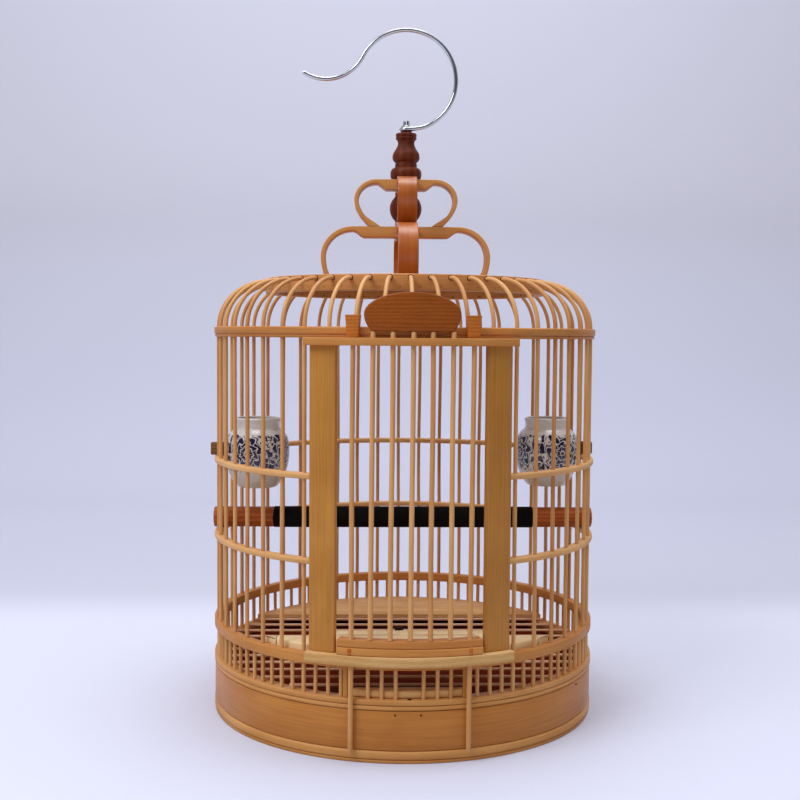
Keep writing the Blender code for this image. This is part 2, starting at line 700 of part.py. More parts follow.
def strip_outline(low, height, belly, half, foot, toe, flat, block, thick, centre):
    """Return the outline in XZ of one bent strip, from its left toe over the top and back inside."""
    widest = low + belly
    high = low + height
    outer = []
    for i in range(CROWN_STEPS):
        share = i / CROWN_STEPS
        outer.append((half - (half - foot) * (1 - share) ** 2, low + belly * share))
    for i in range(CROWN_STEPS + 1):
        turn = math.pi / 2 * i / CROWN_STEPS
        outer.append((flat + (half - flat) * math.cos(turn), widest + (high - widest) * math.sin(turn)))
    inner = [(foot - toe, low)]
    for before, here, after in zip(outer, outer[1:], outer[2:]):
        run = Vector((after[0] - before[0], after[1] - before[1])).normalized()
        inner.append((here[0] - run.y * thick, here[1] + run.x * thick))
    inner.append((flat, high - thick))
    inner.append((block, high - centre))
    right = outer + [(-x, z) for x, z in reversed(outer)]
    left = [(-x, z) for x, z in inner] + list(reversed(inner))
    return right + left


def build_tier(bench, name, low, sizes, width):
    """Cross two bent strips with a half lap where they meet."""
    height, centre = sizes[0], sizes[-1]
    outline = strip_outline(low, *sizes)
    side = width + 2 * FIT_GAP
    middle = low + height - centre / 2
    for direction, turn, sign in (("x", 0.0, 1), ("y", math.pi / 2, -1)):
        strip = bench.plate(f"{name}_strip_{direction}", outline, 0.0, width, "bamboo", upright=True)
        strip.rotation_euler.z = turn
        lap_z = middle + sign * (centre - FIT_GAP) / 2
        lap = bench.box(f"{name}_lap_{direction}", (side, side, centre), (0.0, 0.0, lap_z), None)
        cut(strip, lap)


def build_crown(bench):
    """Two tiers of crossed strips, the ball between them and the turned finial on top."""
    build_tier(bench, "lower_crown", LOWER_TIER_Z,
               (LOWER_TIER_H, LOWER_TIER_BELLY, LOWER_TIER_HALF, LOWER_TIER_FOOT, LOWER_TIER_TOE,
                LOWER_TIER_FLAT, LOWER_TIER_BLOCK, LOWER_TIER_THICK, LOWER_TIER_CENTRE),
               LOWER_TIER_WIDTH)
    build_tier(bench, "upper_crown", UPPER_TIER_Z,
               (UPPER_TIER_H, UPPER_TIER_BELLY, UPPER_TIER_HALF, UPPER_TIER_FOOT, UPPER_TIER_TOE,
                UPPER_TIER_FLAT, UPPER_TIER_BLOCK, UPPER_TIER_THICK, UPPER_TIER_CENTRE),
               UPPER_TIER_WIDTH)

    low = LOWER_TIER_TOP + FIT_GAP
    high = UPPER_TIER_TOP - UPPER_TIER_CENTRE - FIT_GAP
    middle = (low + high) / 2
    tilt = math.asin(BALL_NECK_R / BALL_R)
    profile = [(0.0, high), (BALL_NECK_R, high)]
    for i in range(BALL_STEPS + 1):
        turn = tilt + (math.pi - 2 * tilt) * i / BALL_STEPS
        profile.append((BALL_R * math.sin(turn), middle + BALL_R * math.cos(turn)))
    profile += [(BALL_NECK_R, low), (0.0, low)]
    bench.turn("crown_ball", profile, "dark_wood", BALL_SIDES)

    bore_r = PIN_R + FIT_GAP
    bore_z = FINIAL_TOP - PIN_DEPTH - FIT_GAP
    profile = [(0.0, bore_z), (bore_r, bore_z), (bore_r, FINIAL_TOP)]
    profile += [(FINIAL_R * r, FINIAL_Z + FINIAL_H * z) for r, z in FINIAL_SHARES]
    profile.append((0.0, FINIAL_Z))
    bench.turn("finial", profile, "dark_wood", FINIAL_SIDES)


def eye_path():
    """Points of the hook's eye, which wraps the pin level and leaves it towards +X."""
    points = []
    for i in range(HOOK_EYE_STEPS + 1):
        turn = -math.pi / 2 - HOOK_EYE_WRAP * (1 - i / HOOK_EYE_STEPS)
        points.append(Vector((HOOK_EYE_R * math.cos(turn), HOOK_EYE_R * math.sin(turn), HOOK_EYE_Z)))
    return points


def bend_point(turn):
    """Return the point of the hook's large bend at an angle from its lowest point."""
    bend_z = HOOK_EYE_Z + HOOK_BEND_RISE
    return Vector((HOOK_BEND_R * math.sin(turn), 0.0, bend_z - HOOK_BEND_R * math.cos(turn)))


def hook_path():
    """Eye, a bridge into the large bend, the bend over the top and the reversed tip."""
    points = eye_path()
    start, end = points[-1], bend_point(HOOK_BEND_START)
    reach = (end - start).length / 3
    ahead = start + Vector((reach, 0.0, 0.0))
    behind = end - reach * Vector((math.cos(HOOK_BEND_START), 0.0, math.sin(HOOK_BEND_START)))
    for i in range(1, HOOK_BRIDGE_STEPS):
        t = i / HOOK_BRIDGE_STEPS
        s = 1 - t
        points.append(s ** 3 * start + 3 * s * s * t * ahead + 3 * s * t * t * behind + t ** 3 * end)
    for i in range(HOOK_BEND_STEPS + 1):
        share = i / HOOK_BEND_STEPS
        points.append(bend_point(HOOK_BEND_START + (HOOK_BEND_END - HOOK_BEND_START) * share))
    centre = Vector((0.0, 0.0, HOOK_EYE_Z + HOOK_BEND_RISE))
    away = (points[-1] - centre).normalized()
    tip_centre = centre + away * (HOOK_BEND_R + HOOK_TIP_R)
    back = math.atan2(-away.z, -away.x)
    for i in range(1, HOOK_TIP_STEPS + 1):
        turn = back - HOOK_TIP_WRAP * i / HOOK_TIP_STEPS
        points.append(tip_centre + HOOK_TIP_R * Vector((math.cos(turn), 0.0, math.sin(turn))))
    return points


def build_hook(bench):
    """Headed pin in the finial, and the steel hook whose eye turns on it."""
    head_z = HOOK_EYE_Z + HOOK_WIRE_R + FIT_GAP
    low = FINIAL_TOP - PIN_DEPTH
    profile = [(0.0, head_z + PIN_HEAD_H), (PIN_HEAD_R / 2, head_z + PIN_HEAD_H),
               (PIN_HEAD_R, head_z + PIN_HEAD_H / 2), (PIN_HEAD_R, head_z), (PIN_R, head_z),
               (PIN_R, low), (0.0, low)]
    bench.turn("swivel_pin", profile, "steel", PIN_SIDES)

    curve = bpy.data.curves.new("hook", "CURVE")
    curve.dimensions = "3D"
    curve.bevel_depth = HOOK_WIRE_R
    curve.bevel_resolution = 2
    curve.use_fill_caps = True
    path = hook_path()
    spline = curve.splines.new("POLY")
    spline.points.add(len(path) - 1)
    for point, place in zip(spline.points, path):
        point.co = (*place, 1.0)
    shape = bpy.data.objects.new("hook", curve)
    bench.cutters.objects.link(shape)
    bench.place("hook", bench.settle(shape), "steel")


def build_perch(bench):
    """Turned perch with slotted ends that straddle two wall rods, and its rough sleeve."""
    half = PERCH_LENGTH / 2
    seat = SLEEVE_LENGTH / 2 + FIT_GAP
    core_r = SLEEVE_R - SLEEVE_WALL - FIT_GAP
    profile = [(0.0, half), (PERCH_R, half), (PERCH_R, seat), (core_r, seat),
               (core_r, -seat), (PERCH_R, -seat), (PERCH_R, -half), (0.0, -half)]
    perch = bench.turn("perch", profile, "red_wood", PERCH_SIDES)
    wall = (SLEEVE_R, SLEEVE_R - SLEEVE_WALL)
    length = SLEEVE_LENGTH / 2
    profile = [(wall[0], length), (wall[0], -length), (wall[1], -length), (wall[1], length)]
    sleeve = bench.turn("perch_sleeve", profile, "emery", PERCH_SIDES, ring=True)
    for obj in (perch, sleeve):
        obj.data.transform(Matrix.Rotation(math.pi / 2, 4, "Y"))
        obj.location.z = PERCH_Z
    slot_low = ROD_CIRCLE_R - ROD_R - PERCH_SLOT_DEPTH
    slot = 2 * (ROD_R + SLIDE_GAP)
    for side in (-1, 1):
        size = (half - slot_low + OVERRUN, slot, 4 * PERCH_R)
        centre = (side * (slot_low + size[0] / 2), 0.0, PERCH_Z)
        cut(perch, bench.box(f"perch_slot_{side}", size, centre, None))


def build_cup(bench, name, place):
    """Wide-bellied cup with a short neck, and the lug that hangs it on the upper mid hoop."""
    x, y = polar(CUP_CIRCLE_R, place * HALF_PITCH * 2)
    profile = [(CUP_R * r, CUP_H * z) for r, z in CUP_SHARES]
    cup = bench.turn(f"cup_{name}", profile, "porcelain", CUP_SIDES)
    cup.location = (x, y, CUP_Z)
    wall = cup.modifiers.new("Wall", "SOLIDIFY")
    wall.thickness = CUP_WALL
    wall.offset = -1.0
    wall.use_even_offset = True

    low = UPPER_MID_Z + MID_HOOP_H + FIT_GAP
    root = CUP_CIRCLE_R + CUP_R - LUG_ROOT
    end = CAGE_R + LUG_REACH
    size = (LUG_WIDTH, end - root, LUG_H)
    lug = bench.box(f"cup_lug_{name}", size, (0.0, -(root + end) / 2, low + LUG_H / 2), "red_wood",
                    place * PITCH)
    clear_r = CUP_R + FIT_GAP
    belly = bench.bar(f"cup_belly_{name}", clear_r, 2 * CUP_SIDES, (x, y, low - OVERRUN),
                      (x, y, low + LUG_H + OVERRUN), None)
    cut(lug, belly)


def build_cage():
    """Make every piece of the cage."""
    clear_scene()
    bench = Bench()
    build_base(bench)
    hole_set = build_wall(bench)
    build_gallery_slips(bench)
    build_top(bench)
    guides = build_door_frame(bench, hole_set)
    build_door(bench, guides)
    build_floor(bench)
    build_crown(bench)
    build_hook(bench)
    build_perch(bench)
    build_cup(bench, "left", CUP_PLACES[0])
    build_cup(bench, "right", CUP_PLACES[1])
    bpy.context.view_layer.update()


build_cage()
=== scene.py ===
"""Looks of a round bamboo bird cage with a sliding door, a bent crown and a steel hook.

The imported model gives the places. Every new piece is a surface worked out on a grid of
numbers and put round the cage's own axis. Angles go round that axis from the door,
towards +X. Metres, +Z up.
"""

import logging
import math
from dataclasses import dataclass, field
from enum import Enum

import bmesh
import bpy
import numpy as np
from mathutils import Matrix, Vector


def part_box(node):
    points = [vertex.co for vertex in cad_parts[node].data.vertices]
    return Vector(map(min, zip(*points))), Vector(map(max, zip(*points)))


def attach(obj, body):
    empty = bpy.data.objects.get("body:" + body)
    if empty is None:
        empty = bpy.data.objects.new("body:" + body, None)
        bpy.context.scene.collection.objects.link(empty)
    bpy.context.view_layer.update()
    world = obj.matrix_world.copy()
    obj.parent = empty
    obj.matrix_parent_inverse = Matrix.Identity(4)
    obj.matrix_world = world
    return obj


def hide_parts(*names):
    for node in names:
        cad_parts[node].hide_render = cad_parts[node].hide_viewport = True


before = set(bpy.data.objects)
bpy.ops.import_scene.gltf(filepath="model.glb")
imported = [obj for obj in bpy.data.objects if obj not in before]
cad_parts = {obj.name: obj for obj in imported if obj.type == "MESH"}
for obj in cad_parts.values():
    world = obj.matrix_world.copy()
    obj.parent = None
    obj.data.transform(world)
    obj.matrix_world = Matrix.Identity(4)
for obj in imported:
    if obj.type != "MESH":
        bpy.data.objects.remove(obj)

Array = np.ndarray
Socket = bpy.types.NodeSocket
Shade = tuple[int, int, int]
log = logging.getLogger("bird_cage")

WELD = 0.000001
SEAM = 0.0001
FULL_TURN = 2 * math.pi
QUARTER = math.pi / 2
SHARP_EDGE = math.radians(38)
UP = (0.0, 0.0, 1.0)


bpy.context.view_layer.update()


def levels(node: str) -> tuple[float, float]:
    """Return the lowest and highest level of a CAD node."""
    low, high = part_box(node)
    return low.z, high.z


def axis_of(node: str) -> float:
    """Return the middle of a CAD node from front to back."""
    low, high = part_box(node)
    return (low.y + high.y) / 2


AXIS_Y = axis_of("foot_hoop")


class Body(Enum):
    """The bodies that pieces ride on."""

    CAGE = "cage"
    DOOR = "door"
    HOOK = "hook"
    PERCH = "perch"
    CUP_LEFT = "cup_left"
    CUP_RIGHT = "cup_right"


class Slot(Enum):
    """The slots that finishes go in."""

    BAMBOO = "bamboo"
    SLIP = "bamboo_slip"
    BASE = "base_wood"
    PALE = "pale_wood"
    RED = "red_wood"
    DARK = "dark_wood"
    EMERY = "emery"
    PORCELAIN = "porcelain"
    STEEL = "steel"


# Surfaces on grids


@dataclass
class Surface:
    """A grid of points, with its lengths along and across the grain in metres."""

    points: Array
    grain: Array
    tone: float = 0.5
    capped: bool = False


def paired(first: Array, second: Array) -> Array:
    """Put two fields of numbers side by side, each spread over the whole grid."""
    return np.stack(np.broadcast_arrays(first, second), axis=-1)


def unit(rows: Array) -> Array:
    """Return each row of a line's steps with a length of one."""
    return rows / np.linalg.norm(rows, axis=1)[:, None]


def columns(*fields: Array) -> Array:
    """Return rows of places from the values of each direction."""
    return np.stack(fields, axis=1)


def normal(line: Array) -> Array:
    """Return the direction square to a flat line at each of its points, to its right."""
    ahead = unit(np.gradient(line, axis=0))
    return columns(ahead[:, 1], -ahead[:, 0])


def rounded(near: Array) -> Array:
    """Go from 0 to 1 as a share does, along a quarter circle, and stay at 1."""
    return np.sqrt(np.maximum(0.0, 1 - (1 - np.minimum(near, 1.0)) ** 2))


def eased_levels(low: float, high: float, ease: float, steps: int) -> Array:
    """Return levels from low to high, with one more close to each end."""
    return np.concatenate([[low, low + ease], np.linspace(low + 0.001, high - 0.001, steps),
                           [high - ease, high]])


def smooth_step(low: float, high: float, x: Array) -> Array:
    """Go from 0 at low to 1 at high, level at both: 3t squared less 2t cubed."""
    t = np.clip((x - low) / (high - low), 0.0, 1.0)
    return t * t * (3 - 2 * t)


def run_lengths(points: Array) -> Array:
    """Return the length along a line of points up to each of them."""
    steps = np.linalg.norm(np.diff(points, axis=0), axis=1)
    return np.concatenate([[0.0], np.cumsum(steps)])


def smooth_line(knots: Array, steps: int) -> Array:
    """Pass a smooth line through knots.

    Between two knots the line is the cubic that has, at each of them, the direction
    from the knot before it to the knot after it.

    Args:
        knots: Places, one to a row.
        steps: How many pieces each stretch is cut in.

    Returns:
        The places along the line.
    """
    ends = np.vstack([2 * knots[0] - knots[1], knots, 2 * knots[-1] - knots[-2]])
    t = np.linspace(0.0, 1.0, steps, endpoint=False)[None, :, None]
    a, b, c, d = (ends[i:len(ends) - 3 + i, None, :] for i in range(4))
    line = 0.5 * (2 * b + (c - a) * t + (2 * a - 5 * b + 4 * c - d) * t ** 2
                  + (3 * b - a - 3 * c + d) * t ** 3)
    return np.vstack([line.reshape(-1, knots.shape[1]), knots[-1:]])


def polar(radius: Array | float, angle: Array | float, height: Array | float) -> Array:
    """Return places round the cage: x is r sin a, y is minus r cos a from the axis."""
    radius, angle, height = np.broadcast_arrays(radius, angle, height)
    return np.stack([radius * np.sin(angle), AXIS_Y - radius * np.cos(angle), height], axis=-1)


def arc(radius: float, turn: Array) -> Array:
    """Return the x and y of an arc round the cage."""
    return polar(radius, turn, 0.0)[:, :2]


def along_tangent(angle: float) -> Array:
    """Return the level direction square to the radius at an angle, towards growing angles."""
    return np.array([math.cos(angle), math.sin(angle), 0.0])


def beside(radius: Array, angle: float, level: Array, side: Array) -> Array:
    """Return places at an angle round the cage, moved straight to the side."""
    return polar(radius, angle, level) + side[..., None] * along_tangent(angle)


def full_circle(steps: int) -> Array:
    """Return the angles of a whole turn, which starts and ends at the rear."""
    return np.linspace(-math.pi, math.pi, steps + 1)


def eased_box(width: Array | float, height: Array | float, corner: float, steps: int = 3) -> Array:
    """Return a box section with round corners, closed, centred on nothing.

    Each corner is a quarter circle, and its centre stands one corner radius inside the
    two sides that meet there. Width and height may change along a path.

    Args:
        width: Full width, one value or one for each place on a path.
        height: Full height, likewise.
        corner: Radius of the corners.
        steps: Pieces in each quarter circle.

    Returns:
        Section points, or one row of them for each place.
    """
    width, height = np.atleast_1d(width)[:, None], np.atleast_1d(height)[:, None]
    quarter = np.linspace(0.0, QUARTER, steps + 1)
    turn = np.concatenate([quarter + k * QUARTER for k in range(4)] + [quarter[:1]])
    across, up = (np.append(np.repeat(signs, steps + 1), 1.0)[None, :]
                  for signs in ([1.0, -1.0, -1.0, 1.0], [1.0, 1.0, -1.0, -1.0]))
    x = across * (width / 2 - corner) + corner * np.cos(turn)[None, :]
    y = up * (height / 2 - corner) + corner * np.sin(turn)[None, :]
    section = np.stack([x, y], axis=-1)
    return section[0] if len(section) == 1 else section


def spun(profile: Array, angles: Array, tone: float = 0.5, capped: bool = False) -> Surface:
    """Turn a profile of (radius, level) points round the cage's axis.

    A point of the grid stands at the profile's radius and level, at the angle of its
    row. The grain runs round: angle times the widest radius, and along the profile.

    Args:
        profile: Points of (radius, level).
        angles: Angles from the door side, towards +X.
        tone: How deep the piece's own colour is, 0 to 1.
        capped: Whether the two ends are filled.

    Returns:
        The surface.
    """
    profile = np.asarray(profile)
    points = polar(profile[None, :, 0], angles[:, None], profile[None, :, 1])
    along = angles[:, None] * profile[:, 0].max()
    return Surface(points, paired(along, run_lengths(profile)[None, :]), tone, capped)


def tube(path: Array, radius: Array | float, sides: int = 12, tone: float = 0.5,
         guide: Array | tuple[float, float, float] = (0.0, 0.7, 0.7)) -> Surface:
    """Carry a circle along a path.

    At each place the circle lies square to the path: its first arm is the cross
    product of the path's direction and a guide line, its second arm is square to both.

    Args:
        path: Places along the middle, one to a row.
        radius: Radius, one value or one for each place.
        sides: Sides of the circle.
        tone: How deep the piece's own colour is.
        guide: A line that the path never runs along.

    Returns:
        The surface, with filled ends.
    """
    ahead = unit(np.gradient(path, axis=0))
    first = unit(np.cross(ahead, np.array(guide)))
    second = np.cross(ahead, first)
    turn = full_circle(sides)
    radius = np.broadcast_to(radius, len(path))[:, None, None]
    points = path[:, None, :] + radius * (np.cos(turn)[None, :, None] * first[:, None, :]
                                          + np.sin(turn)[None, :, None] * second[:, None, :])
    grain = paired(run_lengths(path)[:, None], (turn * radius.max())[None, :])
    return Surface(points, grain, tone, True)


def stud(start: float, end: float, angle: float, level: float, radius: float, sides: int = 8) -> Surface:
    """Lay a short round stud along the cage's radius, between two distances from the axis."""
    return tube(polar(np.array([start, end]), angle, level), radius, sides, 0.5, UP)


def eased_path(start: tuple, end: tuple, steps: int, ease: float) -> tuple[Array, Array]:
    """Return a straight path and how full its section is, eased at both ends.

    The section goes from three quarters to full over one ease length, along a quarter
    circle.
    """
    start, end = np.array(start, float), np.array(end, float)
    length = np.linalg.norm(end - start)
    share = np.linspace(0.0, 1.0, 4)
    inner = np.linspace(ease / length, 1 - ease / length, steps + 1)
    place = np.concatenate([share[:-1] * ease / length, inner, 1 - share[-2::-1] * ease / length])
    full = 0.75 + 0.25 * rounded(np.minimum(place, 1 - place) * length / ease)
    return start + place[:, None] * (end - start), full


def slab(outline: Array, low: float, high: float, corner: float, tone: float = 0.5) -> Surface:
    """Give a flat outline a thickness, with its two rims rounded over.

    A row of the grid is the whole outline at one level, pulled in from its edge. On
    the rounded rim the pull is one corner radius less its sine.

    Args:
        outline: Points of x and y, anticlockwise and closed.
        low: Level of the underside.
        high: Level of the top.
        corner: Radius of the rims.
        tone: How deep the piece's own colour is.

    Returns:
        The surface, with filled faces.
    """
    side = np.roll(outline[:-1], -1, axis=0) - np.roll(outline[:-1], 1, axis=0)
    side /= np.linalg.norm(side, axis=1)[:, None] + WELD
    inward = columns(-side[:, 1], side[:, 0])
    inward = np.vstack([inward, inward[:1]])
    turn = np.linspace(0.0, QUARTER, 4)
    level = np.concatenate([low + corner * (1 - np.cos(turn)), high - corner * (1 - np.cos(turn[::-1]))])
    pull = corner * (1 - np.sin(np.concatenate([turn, turn[::-1]])))
    flat = outline[None, :, :] + pull[:, None, None] * inward[None, :, :]
    points = np.concatenate([flat, np.broadcast_to(level[:, None, None], (*flat.shape[:2], 1))], axis=2)
    return Surface(points, flat.copy(), tone, True)


def quads(rows: int, columns: int, start: int = 0) -> list[list[int]]:
    """Return the faces of a grid whose points are numbered row by row from a start."""
    corner = (start + np.arange(rows - 1)[:, None] * columns + np.arange(columns - 1)).reshape(-1)
    return np.stack([corner, corner + columns, corner + columns + 1, corner + 1], axis=-1).tolist()


def put_in_scene(name: str, data: bpy.types.ID) -> bpy.types.Object:
    """Make an object of some data and link it to the scene."""
    made = bpy.data.objects.new(name, data)
    bpy.context.scene.collection.objects.link(made)
    return made


def make_piece(name: str, surfaces: list[Surface], finish: bpy.types.Material, body: Body,
               slot: Slot, *replaced: str) -> bpy.types.Object:
    """Put surfaces in one mesh, dress it and let it ride on a body.

    Args:
        name: The piece's name.
        surfaces: Its surfaces. Their seams and poles are closed here.
        finish: The material.
        body: What it rides on.
        slot: The slot for its finish; not used.
        *replaced: CAD nodes that the piece stands for.

    Returns:
        The piece.
    """
    faces, tones, start = [], [], 0
    for surface in surfaces:
        rows, columns = surface.points.shape[:2]
        faces += quads(rows, columns, start)
        if surface.capped:
            first = start + np.arange(columns - 1)
            faces += [first.tolist(), (first[::-1] + (rows - 1) * columns).tolist()]
        tones.append(np.full(rows * columns, surface.tone))
        start += rows * columns
    mesh = bpy.data.meshes.new(name)
    mesh.from_pydata(np.concatenate([s.points.reshape(-1, 3) for s in surfaces]).tolist(), [], faces)
    corners = np.zeros(len(mesh.loops), np.int32)
    mesh.loops.foreach_get("vertex_index", corners)
    grain = np.concatenate([s.grain.reshape(-1, 2) for s in surfaces])[corners]
    mesh.uv_layers.new(name="grain").data.foreach_set("uv", grain.astype(np.float32).ravel())
    depth = mesh.attributes.new("tone", "FLOAT", "POINT")
    depth.data.foreach_set("value", np.concatenate(tones).astype(np.float32))
    close_and_face_out(mesh)
    piece = put_in_scene(name, mesh)
    mesh.materials.append(finish)
    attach(piece, body.value)
    if replaced:
        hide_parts(*replaced)
    log.info("%s: %d faces, on %s", name, len(mesh.polygons), body.value)
    return piece


def close_and_face_out(mesh: bpy.types.Mesh) -> None:
    """Merge a mesh's seams and poles, turn its faces out and shade it smooth."""
    work = bmesh.new()
    work.from_mesh(mesh)
    bmesh.ops.remove_doubles(work, verts=work.verts, dist=WELD)
    bmesh.ops.recalc_face_normals(work, faces=work.faces)
    work.to_mesh(mesh)
    work.free()
    mesh.shade_smooth()
    mesh.set_sharp_from_angle(angle=SHARP_EDGE)


def dress_node(name: str, finish: bpy.types.Material) -> None:
    """Give a node of the frame that stays in sight its finish, in its object's own slots."""
    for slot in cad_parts[name].material_slots:
        slot.link = "OBJECT"
        slot.material = finish


# Finishes


def light(shade: Shade) -> tuple[float, float, float, float]:
    """Turn a colour of 0 to 255 as seen on a screen into plain light values."""
    seen = np.array(shade) / 255
    plain = np.where(seen <= 0.04045, seen / 12.92, ((seen + 0.055) / 1.055) ** 2.4)
    return (*[float(x) for x in plain], 1.0)


class Nodes:
    """The nodes of one tree, with a short call for each kind that the finishes use."""

    def __init__(self, tree: bpy.types.NodeTree) -> None:
        """Hold the tree."""
        self.tree = tree

    def join(self, node: bpy.types.Node, values: dict) -> None:
        """Give a node's inputs, by name or number, their values or link them to sockets."""
        for key, value in values.items():
            if isinstance(value, Socket):
                self.tree.links.new(value, node.inputs[key])
            else:
                node.inputs[key].default_value = value

    def add(self, kind: str, values: dict | None = None, **settings) -> bpy.types.NodeOutputs:
        """Add a node, with its settings and its inputs, and return its outputs."""
        node = self.tree.nodes.new("ShaderNode" + kind)
        for key, value in settings.items():
            setattr(node, key, value)
        self.join(node, values or {})
        return node.outputs

    def math(self, operation: str, *values) -> Socket:
        """Work out one operation on numbers or sockets."""
        return self.add("Math", dict(enumerate(values)), operation=operation)[0]

    def times(self, first, second) -> Socket:
        """Multiply two numbers or sockets."""
        return self.math("MULTIPLY", first, second)

    def gain(self, value, factor, more) -> Socket:
        """Return a value times a factor, plus something more."""
        return self.math("MULTIPLY_ADD", value, factor, more)

    def off_half(self, value) -> Socket:
        """Return how far a value is from one half."""
        return self.math("ABSOLUTE", self.math("SUBTRACT", value, 0.5))

    def vector(self, operation: str, first, second) -> Socket:
        """Work out one operation on two vectors."""
        return self.add("VectorMath", {0: first, 1: second}, operation=operation)[0]

    def mix(self, share, first, second) -> Socket:
        """Mix two colours by a share."""
        return self.add("Mix", {"Factor": share, 6: first, 7: second}, data_type="RGBA")[2]

    def fade(self, value: Socket, low: float, high: float) -> Socket:
        """Spread a value between two limits over 0 to 1, smoothly."""
        return self.add("MapRange", {"Value": value, "From Min": low, "From Max": high},
                        interpolation_type="SMOOTHSTEP")[0]

    def noise(self, place: Socket, scale: float, detail: float = 2.0,
              roughness: float = 0.5) -> bpy.types.NodeOutputs:
        """Add a noise, and return its value and its colour."""
        return self.add("TexNoise", {"Vector": place, "Scale": scale, "Detail": detail,
                                     "Roughness": roughness})

    def bump(self, height: Socket, strength: float, distance: float) -> Socket:
        """Return the shading's direction, raised by a height."""
        return self.add("Bump", {"Strength": strength, "Distance": distance, "Height": height})[0]

    def grain(self) -> Socket:
        """Return the place along and across the grain."""
        return self.add("UVMap", uv_map="grain")[0]

    def place(self) -> Socket:
        """Return the place on the object."""
        return self.add("TexCoord")["Object"]

    def worn(self, size: float) -> bpy.types.NodeOutputs:
        """Place the handled patches at a size."""
        return HandledPatches().use(self, Place=self.place(), Size=size)


class Effect:
    """A node group that several finishes share, made once. It gives numbers only."""

    name: str
    takes: tuple[str, ...]
    gives: tuple[str, ...]

    def tree(self) -> bpy.types.NodeTree:
        """Return the group, made on its first use."""
        known = bpy.data.node_groups.get(self.name)
        if known:
            return known
        tree = bpy.data.node_groups.new(self.name, "ShaderNodeTree")
        labels = [("Place", "INPUT", "Vector"), *((label, "INPUT", "Float") for label in self.takes),
                  *((label, "OUTPUT", "Float") for label in self.gives)]
        for label, way, kind in labels:
            tree.interface.new_socket(label, in_out=way, socket_type="NodeSocket" + kind)
        nodes = Nodes(tree)
        given = tree.nodes.new("NodeGroupInput").outputs
        nodes.join(tree.nodes.new("NodeGroupOutput"), self.fill(nodes, given))
        return tree

    def fill(self, n: Nodes, given: bpy.types.NodeOutputs) -> dict[str, Socket]:
        """Build the effect from its inputs, and return its outputs by name."""
        raise NotImplementedError

    def use(self, nodes: Nodes, **values) -> bpy.types.NodeOutputs:
        """Place the group in a material with that material's values."""
        node = nodes.tree.nodes.new("ShaderNodeGroup")
        node.node_tree = self.tree()
        nodes.join(node, values)
        return node.outputs


class SplitFibres(Effect):
    """Long fibres of split bamboo, broad clouds of colour, and a few short dark flecks."""

    name = "split_fibres"
    takes = ("Fineness",)
    gives = ("Fibres", "Clouds", "Flecks", "Height")

    def fill(self, n: Nodes, given: bpy.types.NodeOutputs) -> dict[str, Socket]:
        """Stretch noise along the grain: the cells are long along it and thin across it."""
        made = []
        for along, across, detail in ((14.0, 1500.0, 4.0), (16.0, 60.0, 2.0), (180.0, 1200.0, 2.0)):
            fine = n.times(given["Fineness"], across)
            span = n.add("CombineXYZ", {"X": along, "Y": fine, "Z": along})[0]
            made.append(n.noise(n.vector("MULTIPLY", given["Place"], span), 1.0, detail, 0.55)[0])
        fibres, clouds, flecks = made
        return {"Fibres": n.fade(fibres, 0.3, 0.7), "Clouds": n.fade(clouds, 0.3, 0.7),
                "Flecks": n.fade(flecks, 0.70, 0.78), "Height": fibres}


class PlankLines(Effect):
    """Growth lines of a sawn or turned piece of wood, and its fine pores."""

    name = "plank_lines"
    takes = ("Spacing",)
    gives = ("Lines", "Pores", "Height")

    def fill(self, n: Nodes, given: bpy.types.NodeOutputs) -> dict[str, Socket]:
        """Bend evenly spaced bands with slow noise; the first axis is the grain's way."""
        slow = n.vector("MULTIPLY", given["Place"], (0.12, 1.0, 1.0))
        bands = n.add("TexWave", {"Vector": slow, "Scale": given["Spacing"], "Distortion": 5.0,
                                  "Detail": 3.0, "Detail Scale": 1.2}, bands_direction="Z")[1]
        thin = n.vector("MULTIPLY", given["Place"], (120.0, 2200.0, 2200.0))
        pores = n.noise(thin, 1.0)[0]
        return {"Lines": bands, "Pores": n.fade(pores, 0.45, 0.68), "Height": n.gain(bands, 0.4, pores)}


class HandledPatches(Effect):
    """Where hands and polish have left a surface smoother, darker or duller."""

    name = "handled_patches"
    takes = ("Size",)
    gives = ("Patches", "Specks")

    def fill(self, n: Nodes, given: bpy.types.NodeOutputs) -> dict[str, Socket]:
        """Use two noises: one some centimetres wide and one of small specks."""
        wide = n.noise(given["Place"], given["Size"], 4.0)[0]
        fine = n.noise(given["Place"], 700.0)[0]
        return {"Patches": n.fade(wide, 0.35, 0.65), "Specks": n.fade(fine, 0.66, 0.76)}


